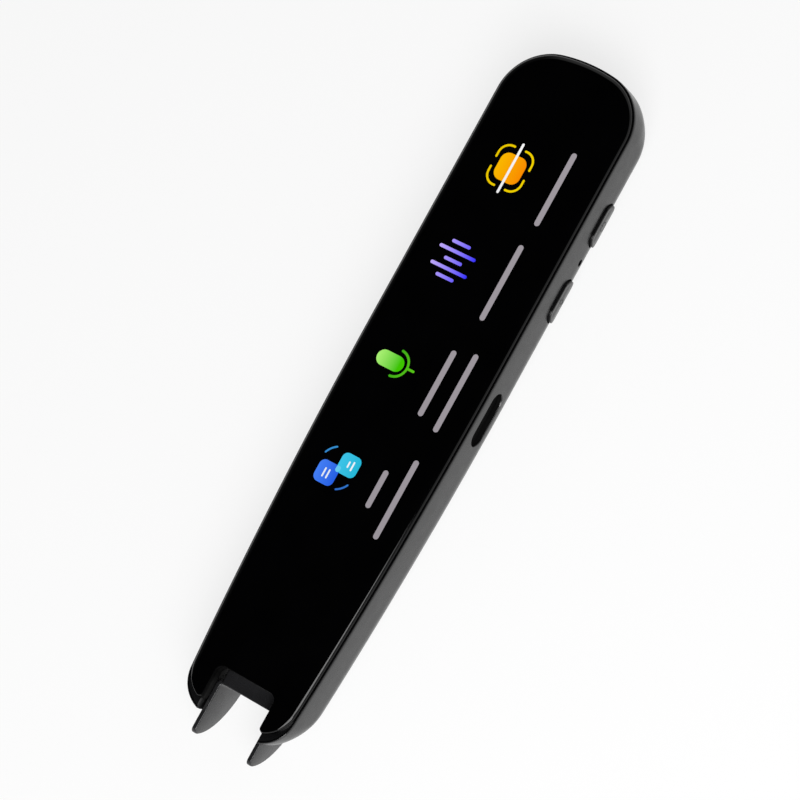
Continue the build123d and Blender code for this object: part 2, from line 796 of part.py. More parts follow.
with BuildPart() as switch_board:
    with BuildSketch(Plane.YZ.offset(switch_board_x)):
        with Locations((switch_board_y, button_z)):
            Rectangle(switch_board_length, switch_board_width)
    extrude(amount=-switch_board_thickness)
save(switch_board, "switch_board")

with BuildPart() as microphone:
    with BuildSketch(Plane.YZ.offset(switch_board_x)):
        with Locations((switch_board_y, button_z)):
            Rectangle(mic_length, mic_width)
    extrude(amount=mic_thickness)
save(microphone, "microphone")

# ---- Scan hood: two leaf-shaped legs and a web, on a neck that slides in the shell ----
with BuildPart() as scan_hood:
    with BuildSketch(Plane.XY):
        with Locations((0, (hood_web_top + leg_tip) / 2)):
            Rectangle(2 * hood_half, hood_web_top - leg_tip)
        fillet(vertices().group_by(Axis.Y)[-1], hood_corner)
        add(notch_plan(0, leg_inner, web_under, hood_inner_corner), mode=Mode.SUBTRACT)
    extrude(amount=leg_front)
    # side view of the legs: a straight front edge and a quarter ellipse behind
    with BuildSketch(Plane.YZ) as leg_side:
        with BuildLine():
            EllipticalCenterArc((leg_tip + leg_sweep, leg_front), leg_sweep, leg_front - leg_rear,
                                start_angle=180, arc_size=90)
            Polyline((leg_tip + leg_sweep, leg_rear), (ear_top, leg_rear), (ear_top, leg_front),
                     (leg_tip, leg_front))
        make_face()
        fillet(leg_side.vertices().sort_by(Axis.X)[0], leg_tip_round)
    extrude(amount=hood_half, both=True, mode=Mode.INTERSECT)
    # neck, a square tube from the web up into the case
    with BuildSketch(Plane.XZ.offset(-ear_top)):
        with Locations((0, scan_z)):
            RectangleRounded(2 * neck_half, neck_front - neck_rear, neck_round)
    extrude(amount=ear_top - web_under)
    # ears behind the cross wall
    with BuildSketch(Plane.XZ.offset(-ear_top)):
        with Locations((0, (ear_low + ear_high) / 2)):
            Rectangle(2 * ear_half, ear_high - ear_low)
    extrude(amount=ear_length)
    # tunnel down to the web, then the window's view through it
    with BuildSketch(Plane.XZ.offset(-ear_top)):
        with Locations((0, scan_z)):
            Rectangle(tunnel_width, tunnel_height)
    extrude(amount=ear_top - hood_web_top, mode=Mode.SUBTRACT)
    with BuildSketch(Plane.XZ.offset(-hood_web_top)):
        with Locations((0, scan_z)):
            Rectangle(2 * window_view_half, 2 * window_view_rise)
    extrude(amount=hood_skin, mode=Mode.SUBTRACT)
    # holes for the guide pins
    with BuildSketch(Plane.XZ.offset(-ear_top)):
        with Locations((pin_x, pin_z), (-pin_x, pin_z)):
            Circle(pin_radius + screw_gap)
    extrude(amount=ear_length, mode=Mode.SUBTRACT)
save(scan_hood, "scan_hood")

with BuildPart() as scan_window:
    with BuildSketch(Plane.XZ.offset(-hood_web_top - window_thickness)):
        with Locations((0, scan_z)):
            Rectangle(tunnel_width - 2 * fit_gap, tunnel_height - 2 * fit_gap)
    extrude(amount=window_thickness)
save(scan_window, "scan_window")

pin_head_y = carrier_back + pin_stop_gap
with BuildPart() as guide_pins:
    with BuildSketch(Plane.XZ.offset(-pin_head_y)):
        with Locations((pin_x, pin_z), (-pin_x, pin_z)):
            Circle(pin_radius)
    extrude(amount=pin_head_y - ear_stop)
    with BuildSketch(Plane.XZ.offset(-pin_head_y)):
        with Locations((pin_x, pin_z), (-pin_x, pin_z)):
            Circle(pin_head_radius)
    extrude(amount=-pin_head_length)
save(guide_pins, "guide_pins")

coil_height = spring_length - spring_wire - 2 * spring_seat_gap
coil_start = ear_top + spring_wire / 2 + spring_seat_gap
with BuildPart() as hood_springs:
    for spring_x in (-pin_x, pin_x):
        with BuildLine() as coil:
            Helix(coil_height / spring_turns, coil_height, spring_radius,
                  center=(spring_x, coil_start, pin_z), direction=(0, 1, 0))
        with BuildSketch(Plane(origin=coil.line @ 0, z_dir=coil.line % 0)):
            RegularPolygon(spring_wire / 2, wire_sides)
        sweep(path=coil.line, is_frenet=True)
save(hood_springs, "hood_springs")

# ---- Carrier across the case, with the camera, lamps and tip switch ----
with BuildPart() as scan_carrier:
    with BuildSketch(Plane.XZ.offset(-carrier_back)):
        with Locations((0, (carrier_low + frame_z) / 2)):
            Rectangle(2 * carrier_half, frame_z - carrier_low)
        with Locations((0, scan_z)):
            Rectangle(camera_side, camera_side, mode=Mode.SUBTRACT)
        with Locations((pin_x, pin_z), (-pin_x, pin_z)):
            Circle(pin_radius + pin_gap, mode=Mode.SUBTRACT)
    extrude(amount=carrier_thickness)
    # lugs under the board's foot
    with BuildSketch(Plane.XY.offset(board_z)):
        with Locations(((lug_inner + carrier_half) / 2, carrier_back + lug_length / 2),
                       (-(lug_inner + carrier_half) / 2, carrier_back + lug_length / 2)):
            Rectangle(carrier_half - lug_inner, lug_length)
        with Locations(board_tip_places):
            Circle(screw_radius + fit_gap, mode=Mode.SUBTRACT)
    extrude(amount=-lug_thickness)
save(scan_carrier, "scan_carrier")

with BuildPart() as camera_module:
    with BuildSketch(Plane.XZ.offset(-camera_front)):
        with Locations((0, scan_z)):
            Rectangle(camera_side, camera_side)
    extrude(amount=-camera_length)
    with BuildSketch(Plane.XZ.offset(-camera_front)):
        with Locations((0, scan_z)):
            Circle(barrel_radius)
    extrude(amount=barrel_length)
save(camera_module, "camera_module")

lens_back = camera_front - barrel_length
with BuildPart() as camera_lens:
    with BuildSketch(Plane.XZ.offset(-lens_back)):
        with Locations((0, scan_z)):
            Circle(lens_radius)
    extrude(amount=lens_rise)
    chamfer(camera_lens.faces().sort_by(Axis.Y)[0].edges(), lens_rise / 2, lens_rise)
save(camera_lens, "camera_lens")

with BuildPart() as lamp_board:
    with BuildSketch(Plane.XZ.offset(-camera_front)):
        with Locations((0, scan_z)):
            Rectangle(lamp_board_width, lamp_board_height)
            Circle(barrel_radius + fit_gap, mode=Mode.SUBTRACT)
    extrude(amount=lamp_board_thickness)
save(lamp_board, "lamp_board")

with BuildPart() as scan_lamps:
    with BuildSketch(Plane.XZ.offset(-camera_front + lamp_board_thickness)):
        with Locations((lamp_x, scan_z), (-lamp_x, scan_z)):
            Rectangle(lamp_width, lamp_height)
    extrude(amount=lamp_depth)
save(scan_lamps, "scan_lamps")

with BuildPart() as tip_switch:
    with BuildSketch(Plane.XZ.offset(-carrier_front)):
        with Locations((tip_switch_x, tip_switch_z)):
            Rectangle(tip_switch_width, tip_switch_height)
    extrude(amount=spring_length - hood_travel - tip_switch_gap - plunger_length)
    with BuildSketch(Plane.XZ.offset(-carrier_front)):
        with Locations((tip_switch_x, tip_switch_z)):
            Circle(plunger_radius)
    extrude(amount=spring_length - hood_travel - tip_switch_gap)
save(tip_switch, "tip_switch")

# ---- Screws ----
with BuildPart() as case_screws:
    with BuildSketch(Plane.XY.offset(shell_depth - fit_gap)):
        with Locations(case_screw_places):
            Circle(screw_head_radius)
    extrude(amount=-screw_head)
    with BuildSketch(Plane.XY.offset(shell_depth - fit_gap - screw_head)):
        with Locations(case_screw_places):
            Circle(screw_radius)
    extrude(amount=-case_screw_length)
save(case_screws, "case_screws")

with BuildPart() as board_screws:
    for places, head_z in ((board_top_places, board_z), (board_tip_places, board_z - lug_thickness)):
        with BuildSketch(Plane.XY.offset(head_z)):
            with Locations(places):
                Circle(screw_head_radius)
        extrude(amount=-screw_head)
        with BuildSketch(Plane.XY.offset(head_z)):
            with Locations(places):
                Circle(screw_radius)
        extrude(amount=screw_depth_z - head_z)
save(board_screws, "board_screws")
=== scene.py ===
"""Looks of a handheld scanning translator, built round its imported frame.

The pen lies on its back: X runs across it with the buttons on +X, Y runs along it from the
scan tip to the socket end, Z rises from the flat back to the front glass. Sizes are in
millimetres and become metres when a mesh is made.
"""

import logging
import math
from dataclasses import dataclass, field
from enum import Enum

import bmesh
import bpy
import numpy as np
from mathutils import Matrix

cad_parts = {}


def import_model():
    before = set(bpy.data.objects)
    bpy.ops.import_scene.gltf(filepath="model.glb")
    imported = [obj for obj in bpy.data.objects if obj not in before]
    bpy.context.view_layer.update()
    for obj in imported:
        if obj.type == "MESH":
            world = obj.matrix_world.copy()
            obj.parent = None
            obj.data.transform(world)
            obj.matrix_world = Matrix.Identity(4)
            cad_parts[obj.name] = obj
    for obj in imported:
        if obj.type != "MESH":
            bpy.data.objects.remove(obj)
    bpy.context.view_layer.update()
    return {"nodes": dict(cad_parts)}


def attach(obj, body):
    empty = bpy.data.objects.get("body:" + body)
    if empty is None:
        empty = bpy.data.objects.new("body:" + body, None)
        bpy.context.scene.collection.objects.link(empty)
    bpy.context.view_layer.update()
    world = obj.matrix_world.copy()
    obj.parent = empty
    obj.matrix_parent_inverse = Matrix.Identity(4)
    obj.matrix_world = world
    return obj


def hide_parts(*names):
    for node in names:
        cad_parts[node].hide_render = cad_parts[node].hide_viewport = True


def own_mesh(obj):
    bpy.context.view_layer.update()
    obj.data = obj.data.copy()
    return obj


Piece = bpy.types.Object
Node = bpy.types.Node
Socket = bpy.types.NodeSocket
Pair = tuple[float, float]
Triple = tuple[float, float, float]
Box = tuple[Triple, Triple]

MM = 0.001
MERGE = 2e-8
log = logging.getLogger("translator")


# ---------------------------------------------------------------- mesh work


class Axis(Enum):
    """The axis that a prism's levels run along, as the order of its three coordinates."""

    X = (2, 0, 1)
    Y = (0, 2, 1)
    Z = (0, 1, 2)


class Cut(Enum):
    """What a tool solid does to a body."""

    TAKE = "DIFFERENCE"
    JOIN = "UNION"


@dataclass
class Patch:
    """A piece of surface: its points, its four-sided faces and its many-sided caps."""

    points: np.ndarray
    quads: np.ndarray
    caps: list[np.ndarray] = field(default_factory=list)


def stack(rings: np.ndarray) -> Patch:
    """Join a stack of closed rings into a wall with a flat cap on each end.

    Args:
        rings: (rings, points, 3) array; point k of a ring meets point k of the next.
    Returns:
        The wall with its caps.
    """
    rows, count = rings.shape[:2]
    column = np.arange(count)
    here = np.arange(rows - 1)[:, None] * count + column
    beside = np.arange(rows - 1)[:, None] * count + (column + 1) % count
    quads = np.stack([here, beside, beside + count, here + count], -1).reshape(-1, 4)
    return Patch(rings.reshape(-1, 3), quads, [column[::-1], column + (rows - 1) * count])


def sheet_of(grid: np.ndarray) -> Patch:
    """Join a grid of points into an open sheet.

    Args:
        grid: (rows, columns, 3) array.
    Returns:
        The sheet, with a face between each four neighbours.
    """
    rows, columns = grid.shape[:2]
    here = (np.arange(rows - 1)[:, None] * columns + np.arange(columns - 1)).reshape(-1)
    quads = np.stack([here, here + 1, here + 1 + columns, here + columns], -1)
    return Patch(grid.reshape(-1, 3), quads)


def make(name: str, patches: list[Patch], closed: bool = True) -> Piece:
    """Put patches into one mesh object at the origin, in metres.

    Args:
        name: the object's name.
        patches: the surfaces that it is made of.
        closed: whether the result is a closed solid, whose faces are turned outwards.
    Returns:
        The new object, linked to the scene.
    """
    starts = np.cumsum([0] + [len(patch.points) for patch in patches])
    points = np.concatenate([patch.points for patch in patches]) * MM
    quads = np.concatenate([patch.quads + base for patch, base in zip(patches, starts)])
    caps = [(cap + base).tolist() for patch, base in zip(patches, starts) for cap in patch.caps]
    mesh = bpy.data.meshes.new(name)
    mesh.from_pydata(points.tolist(), [], quads.tolist() + caps)
    piece = bpy.data.objects.new(name, mesh)
    bpy.context.scene.collection.objects.link(piece)
    if closed:
        work = bmesh.new()
        work.from_mesh(mesh)
        bmesh.ops.remove_doubles(work, verts=work.verts, dist=MERGE)
        bmesh.ops.recalc_face_normals(work, faces=work.faces)
        work.to_mesh(mesh)
        work.free()
    return piece


def carve(body: Piece, patches: list[Patch], how: Cut = Cut.TAKE) -> None:
    """Take the solid that the patches make out of a body, or join it on.

    Args:
        body: the piece, whose mesh is made anew.
        patches: the surfaces of the tool solid.
        how: whether the tool is taken out or joined on.
    """
    tool = make("tool", patches)
    modifier = body.modifiers.new("carve", "BOOLEAN")
    modifier.operation = how.value
    modifier.solver = "EXACT"
    modifier.object = tool
    bpy.context.view_layer.update()
    graph = bpy.context.evaluated_depsgraph_get()
    mesh = bpy.data.meshes.new_from_object(body.evaluated_get(graph))
    old = body.data
    body.modifiers.clear()
    body.data = mesh
    mesh.name = body.name
    bpy.data.meshes.remove(old)
    bpy.data.objects.remove(tool)


def shade(piece: Piece, angle: float) -> None:
    """Shade a piece smooth, but for its sharp edges.

    Args:
        piece: the piece.
        angle: the bend in degrees above which an edge stays sharp.
    """
    mesh = piece.data
    mesh.polygons.foreach_set("use_smooth", np.ones(len(mesh.polygons), bool))
    mesh.set_sharp_from_angle(angle=math.radians(angle))


def paint_shade_on(piece: Piece, finish: "Finish", box: Box, steep: float) -> None:
    """Paint shade, as a second finish, on the steep faces whose middles lie in a box.

    Args:
        piece: the piece, which already has its own finish.
        finish: the painted shade that the faces get.
        box: the box's low and high corner.
        steep: the most that a face's normal may point up.
    """
    mesh = piece.data
    mesh.materials.append(finish.build())
    count = len(mesh.polygons)
    middle, normal = np.empty(count * 3), np.empty(count * 3)
    mesh.polygons.foreach_get("center", middle)
    mesh.polygons.foreach_get("normal", normal)
    middle, normal = middle.reshape(-1, 3) / MM, normal.reshape(-1, 3)
    within = np.all((middle > box[0]) & (middle < box[1]), axis=1) & (normal[:, 2] < steep)
    index = np.empty(count, np.int32)
    mesh.polygons.foreach_get("material_index", index)
    index[within] = len(mesh.materials) - 1
    mesh.polygons.foreach_set("material_index", index)


# ---------------------------------------------------------------- plan curves


def swept(count: int, stop: float = 90.0, start: float = 0.0) -> np.ndarray:
    """Evenly spaced angles between two angles in degrees, given in radians."""
    return np.radians(np.linspace(start, stop, count))


def circle(turn: np.ndarray) -> np.ndarray:
    """Points of the unit circle: the cosine and the sine of each angle."""
    return np.stack([np.cos(turn), np.sin(turn)], -1)


def unit(vectors: np.ndarray) -> np.ndarray:
    """Vectors divided by their own length."""
    return vectors / np.linalg.norm(vectors, axis=-1, keepdims=True)


def across(vectors: np.ndarray) -> np.ndarray:
    """Flat vectors given a quarter turn to their left."""
    return np.stack([-vectors[..., 1], vectors[..., 0]], -1)


def partway(first: np.ndarray, last: np.ndarray, count: int) -> np.ndarray:
    """Even steps from the first value up to, but without, the last."""
    return first + (last - first) * np.linspace(0, 1, count, endpoint=False)


def raised(flat: np.ndarray, z: np.ndarray) -> np.ndarray:
    """Give each flat ring its own height."""
    up = np.broadcast_to(np.asarray(z, float)[:, None, None], flat.shape[:2] + (1,))
    return np.concatenate([flat, up], -1)


def corners(steps: int) -> tuple[np.ndarray, np.ndarray]:
    """Directions round four quarter circles, one after the other.

    Args:
        steps: faces round each corner.
    Returns:
        Unit vectors, and the signs of the corner that each belongs to, both (points, 2).
    """
    corner = np.repeat(np.arange(4), steps + 1)
    turn = np.radians(90) * (corner + np.tile(np.linspace(0, 1, steps + 1), 4))
    return circle(turn), np.sign(circle(np.radians(90) * (corner + 0.5)))


def rounded(width: float, height: float, radius: float,
            steps: int = 8) -> tuple[np.ndarray, np.ndarray]:
    """Rounded rectangle as four quarter circles joined by straight runs.

    Args:
        width: size along the first axis.
        height: size along the second axis.
        radius: corner radius, up to half the smaller size.
        steps: faces round each corner.
    Returns:
        Points and outward unit normals, both (4 * (steps + 1), 2).
    """
    normal, sign = corners(steps)
    return sign * (width / 2 - radius, height / 2 - radius) + radius * normal, normal


def prism(plan: tuple[np.ndarray, np.ndarray], centre: Pair, levels: tuple[float, ...],
          grow: tuple[float, ...], axis: Axis) -> Patch:
    """A plan curve carried along an axis, grown or shrunk square to itself at each level.

    Args:
        plan: points and unit normals of the closed curve.
        centre: where the curve's middle goes, on the two axes across.
        levels: places along the axis.
        grow: how far the curve is moved along its normals at each level.
        axis: the axis that the levels are on.
    Returns:
        The closed prism.
    """
    flat = plan[0][None] + plan[1][None] * np.asarray(grow, float)[:, None, None] + centre
    return stack(raised(flat, levels)[..., list(axis.value)])


def block(box: Box) -> Patch:
    """A plain box for cutting.

    Args:
        box: its low and high corner.
    Returns:
        The closed box.
    """
    low, high = np.asarray(box, float)
    size, middle = high - low, (high + low) / 2
    square = (np.array([[1, 1], [-1, 1], [-1, -1], [1, -1]]) * size[:2] / 2, np.zeros((4, 2)))
    return prism(square, tuple(middle[:2]), (low[2], high[2]), (0, 0), Axis.Z)


@dataclass(frozen=True)
class Opening:
    """A rounded prism: width, height and corner radius, and how it widens along its levels.

    The levels are places along the axis, counted from the face that the opening goes through.
    """

    size: Triple
    centre: Pair
    levels: tuple[float, ...]
    grow: tuple[float, ...]
    axis: Axis = Axis.X
    steps: int = 8

    def tool(self, face: float = 0.0) -> Patch:
        """The solid that cuts the opening through a face at this place."""
        levels = tuple(face + level for level in self.levels)
        return prism(rounded(*self.size, self.steps), self.centre, levels, self.grow, self.axis)


# ---------------------------------------------------------------- finishes


@dataclass
class Bench:
    """A node tree being wired, with its shader and the place that its patterns read."""

    tree: bpy.types.NodeTree
    shader: Node | None = None
    place: Socket | None = None

    def fill(self, node: Node, **inputs: object) -> Node:
        """Give a node's inputs their values or links.

        Args:
            node: the node.
            inputs: a value or a socket for each input, by its name with underscores for
                spaces, or by its number after the letter n.
        Returns:
            The same node.
        """
        for key, value in inputs.items():
            socket = node.inputs[int(key[1:]) if key[1:].isdigit() else key.replace("_", " ")]
            if isinstance(value, bpy.types.NodeSocket):
                self.tree.links.new(value, socket)
            else:
                socket.default_value = value
        return node

    def add(self, kind: str, **inputs: object) -> Node:
        """Add a node of this kind and fill its inputs."""
        return self.fill(self.tree.nodes.new("ShaderNode" + kind), **inputs)

    def work(self, operation: str, *values: object) -> Socket:
        """Reckon with numbers or sockets.

        Args:
            operation: what is done.
            values: its inputs in order.
        Returns:
            The result.
        """
        node = self.tree.nodes.new("ShaderNodeMath")
        node.operation = operation
        self.fill(node, **{f"n{number}": value for number, value in enumerate(values)})
        return node.outputs[0]

    def mix(self, share: object, first: object, second: object, blend: str = "MIX") -> Socket:
        """Blend two colours.

        Args:
            share: how much of the second, or of the blend, shows.
            first: the first colour.
            second: the second colour.
            blend: how they are combined.
        Returns:
            The blended colour.
        """
        node = self.tree.nodes.new("ShaderNodeMix")
        node.data_type = "RGBA"
        node.blend_type = blend
        self.fill(node, n0=share, n6=first, n7=second)
        return node.outputs[2]

    def ramp(self, factor: Socket, low: Triple, high: Triple, start: float = 0.0,
             stop: float = 1.0) -> Socket:
        """A colour that runs between two shades.

        Args:
            factor: what it runs with.
            low: the shade up to the start.
            high: the shade from the stop on.
            start: the factor at which the run begins.
            stop: the factor at which it ends.
        Returns:
            The colour.
        """
        node = self.add("ValToRGB", Fac=factor)
        for element, place, colour in zip(node.color_ramp.elements, (start, stop), (low, high)):
            element.position = place
            element.color = (*colour, 1)
        return node.outputs["Color"]

    def noise(self, size: float, detail: float, stretch: Triple = (1, 1, 1)) -> Socket:
        """A noise in object space.

        Args:
            size: about the size of its cells in millimetres.
            detail: how many finer layers it has.
            stretch: scale of each axis; a small one draws the cells out along it.
        Returns:
            The noise, about 0.25 to 0.75.
        """
        mapping = self.add("Mapping", Vector=self.place, Scale=stretch)
        return self.add("TexNoise", Vector=mapping.outputs["Vector"], Scale=1 / (size * MM),
                        Detail=float(detail)).outputs["Fac"]


@dataclass(frozen=True)
class Finish:
    """A moulded or plain surface: fine grain, uneven gloss and a faint drift of colour."""

    name: str
    colour: Triple = (0.012, 0.012, 0.013)
    roughness: float = 0.4
    metallic: float = 0.0
    specular: float = 0.5
    grain: float = 0.12
    relief: float = 0.004
    drift: float = 0.25
    spread: float = 0.06

    def build(self) -> bpy.types.Material:
        """Make the material, or give back the one that was made before.

        Returns:
            The material with its node tree.
        """
        if self.name in bpy.data.materials:
            return bpy.data.materials[self.name]
        material = bpy.data.materials.new(self.name)
        material.use_nodes = True
        tree = material.node_tree
        place = tree.nodes.new("ShaderNodeTexCoord").outputs["Object"]
        bench = Bench(tree, tree.nodes["Principled BSDF"], place)
        bench.fill(bench.shader, Base_Color=(*self.colour, 1), Roughness=self.roughness,
                   Metallic=self.metallic, Specular_IOR_Level=self.specular)
        self.paint(bench)
        material.diffuse_color = (*self.colour, 1)
        return material

    def paint(self, bench: Bench) -> None:
        """Lay grain, gloss and drift on the shader: noises of three sizes in object space.

        Args:
            bench: the material's tree.
        """
        self.tint(bench, bench.noise(9.0, 3))
        self.gloss(bench, bench.noise(2.2, 4))
        self.bump(bench, bench.noise(self.grain, 3), self.relief)

    def tint(self, bench: Bench, factor: Socket) -> None:
        """Let the colour drift between a darker and a lighter shade of itself.

        Args:
            bench: the material's tree.
            factor: the pattern that it follows.
        """
        low = tuple(max(channel * (1 - self.drift), 0) for channel in self.colour)
        high = tuple(min(channel * (1 + self.drift), 1) for channel in self.colour)
        bench.fill(bench.shader, Base_Color=bench.ramp(factor, low, high, 0.3, 0.7))

    def gloss(self, bench: Bench, factor: Socket) -> None:
        """Spread the roughness a little to either side of its value.

        Args:
            bench: the material's tree.
            factor: the pattern that it follows.
        """
        low, high = max(self.roughness - self.spread, 0.01), self.roughness + self.spread
        spread = bench.add("MapRange", Value=factor, From_Min=0.25, From_Max=0.75, To_Min=low,
                           To_Max=high)
        bench.fill(bench.shader, Roughness=spread.outputs["Result"])

    def bump(self, bench: Bench, height: Socket, depth: float) -> None:
        """Raise the surface by a height pattern of this depth in millimetres."""
        bump = bench.add("Bump", Strength=1.0, Distance=depth * MM, Height=height)
        bench.fill(bench.shader, Normal=bump.outputs["Normal"])


@dataclass(frozen=True)
class Brushed(Finish):
    """Drawn or stamped metal: grain drawn out along one axis."""

    stretch: Triple = (1.0, 0.06, 1.0)

    def paint(self, bench: Bench) -> None:
        """Draw the grain out along the metal's run.

        Args:
            bench: the material's tree.
        """
        self.tint(bench, bench.noise(4.0, 3))
        streaks = bench.noise(self.grain, 4, self.stretch)
        self.gloss(bench, streaks)
        self.bump(bench, streaks, self.relief)


@dataclass(frozen=True)
class Glow(Finish):
    """A lit colour on the display that runs from one shade to another along an axis."""

    roughness: float = 0.06
    specular: float = 0.03
    spread: float = 0.02
    far: Triple = (1, 1, 1)
    axis: str = "X"
    start: float = 0.0
    stop: float = 1.0
    strength: float = 1.0
    pixel: float = 0.08

    def paint(self, bench: Bench) -> None:
        """Run the colour between its two shades, with the faint weave of the display's pixels.

        Args:
            bench: the material's tree.
        """
        split = bench.add("SeparateXYZ", Vector=bench.place)
        run = bench.add("MapRange", Value=split.outputs[self.axis], From_Min=self.start * MM,
                        From_Max=self.stop * MM)
        colour = bench.ramp(run.outputs["Result"], self.colour, self.far)
        cells = bench.add("TexChecker", Vector=bench.place, Scale=1 / (self.pixel * MM),
                          Color1=(1, 1, 1, 1), Color2=(0.9, 0.9, 0.9, 1))
        woven = bench.mix(1.0, colour, cells.outputs["Color"], "MULTIPLY")
        bench.fill(bench.shader, Emission_Color=woven, Emission_Strength=self.strength,
                   Base_Color=(0, 0, 0, 1))
        self.gloss(bench, bench.noise(6.0, 2))


@dataclass(frozen=True)
class Board(Finish):
    """Solder mask over copper: a fine pattern of tracks and lands under the lacquer."""

    copper: Triple = (0.02, 0.075, 0.03)
    cell: float = 2.4
    step: float = 0.01

    def paint(self, bench: Bench) -> None:
        """Draw the tracks as the mortar of a brick pattern, a little lighter and raised.

        Args:
            bench: the material's tree.
        """
        tracks = bench.add("TexBrick", Vector=bench.place, Scale=1 / (self.cell * MM),
                           Mortar_Size=0.035, Mortar_Smooth=0.1, Brick_Width=1.3, Row_Height=0.6,
                           Color1=(*self.colour, 1), Color2=(*(c * 0.8 for c in self.colour), 1),
                           Mortar=(*self.copper, 1))
        bench.fill(bench.shader, Base_Color=tracks.outputs["Color"])
        self.gloss(bench, bench.noise(1.5, 3))
        self.bump(bench, tracks.outputs["Fac"], self.step)


@dataclass(frozen=True)
class Foil(Finish):
    """Pouch foil or tape: shallow wrinkles and a soft sheen."""

    wrinkle: float = 3.0
    depth: float = 0.08

    def paint(self, bench: Bench) -> None:
        """Crease the surface along a stretched noise.

        Args:
            bench: the material's tree.
        """
        self.tint(bench, bench.noise(6.0, 2))
        self.gloss(bench, bench.noise(1.0, 4))
        self.bump(bench, bench.noise(self.wrinkle, 5, (1, 0.4, 1)), self.depth)


@dataclass(frozen=True)
class Woven(Finish):
    """Speaker cloth: round holes on a square pitch, dark between fine threads."""

    pitch: float = 0.3
    sink: float = 0.05
    hole: Triple = (0.001, 0.001, 0.001)

    def paint(self, bench: Bench) -> None:
        """Darken and sink the cells of a regular cell pattern.

        Args:
            bench: the material's tree.
        """
        cells = bench.add("TexVoronoi", Vector=bench.place, Scale=1 / (self.pitch * MM),
                          Randomness=0.0)
        cloth = bench.ramp(cells.outputs["Distance"], self.hole, self.colour, 0.3, 0.45)
        bench.fill(bench.shader, Base_Color=cloth)
        self.bump(bench, cloth, self.sink)


@dataclass(frozen=True)
class Clear(Finish):
    """Clear moulded or ground window with faint smudges in its gloss."""

    def paint(self, bench: Bench) -> None:
        """Let light through, with uneven gloss and a slight swell of the surface.

        Args:
            bench: the material's tree.
        """
        bench.fill(bench.shader, Transmission_Weight=0.85, IOR=1.49)
        self.tint(bench, bench.noise(5.0, 2))
        self.gloss(bench, bench.noise(2.0, 4))
        self.bump(bench, bench.noise(3.0, 1), self.relief)


@dataclass(frozen=True)
class Ported(Finish):
    """Plated shell whose middle, in a box round an axis point, is dark moulded plastic."""

    centre: Pair = (0.0, 0.0)
    half: Pair = (1.0, 1.0)
    inside: Triple = (0.006, 0.006, 0.006)

    def paint(self, bench: Bench) -> None:
        """Turn dark and unplated where both x and z are within the box.

        Args:
            bench: the material's tree.
        """
        split = bench.add("SeparateXYZ", Vector=bench.place)
        near = [bench.work("COMPARE", split.outputs[axis], middle * MM, half * MM)
                for axis, middle, half in zip("XZ", self.centre, self.half)]
        both = bench.work("MULTIPLY", *near)
        colour = bench.mix(both, (*self.colour, 1), (*self.inside, 1))
        bench.fill(bench.shader, Base_Color=colour, Metallic=bench.work("SUBTRACT", 1.0, both))
        self.gloss(bench, bench.noise(1.2, 4))
        self.bump(bench, bench.noise(self.grain, 3), self.relief)


SHELL = Finish("shell_satin", (0.0030, 0.0030, 0.0033), roughness=0.27, grain=0.10, relief=0.003)
GLASS = Finish("glass_black", (0.0006, 0.0006, 0.0007), roughness=0.05, specular=0.25, grain=6.0,
               relief=0.0015, spread=0.02)
FRAME = Finish("frame_matt", (0.003, 0.003, 0.003), roughness=0.6, specular=0.05, grain=0.1)
HOOD = Finish("hood_satin", roughness=0.27, grain=0.08, relief=0.003)
BUTTON = Finish("button_satin", (0.0030, 0.0030, 0.0032), roughness=0.28, grain=0.08, relief=0.003)
SPRING = Brushed("steel_spring", (0.55, 0.54, 0.52), roughness=0.22, metallic=1.0, grain=0.1,
                 relief=0.002)
MARK = Finish("mark_black", (0.002, 0.002, 0.002), roughness=0.5, specular=0.2, grain=0.05,
              relief=0.002)
CLOTH = Woven("speaker_cloth", (0.004, 0.004, 0.004), roughness=0.7, specular=0.15)
# Painted shade: a matt near-black that stands in for the shade in the hood's notch, on the glass's
# notch edges and lobes, and in the side scoop and slit.
PAINTED_SHADE = Finish("painted_shade_matt", (0.0008, 0.0008, 0.0008), roughness=0.7, specular=0.04, grain=0.05)
WINDOW = Clear("window_clear", (0.75, 0.75, 0.78), roughness=0.06)


# ---------------------------------------------------------------- case form


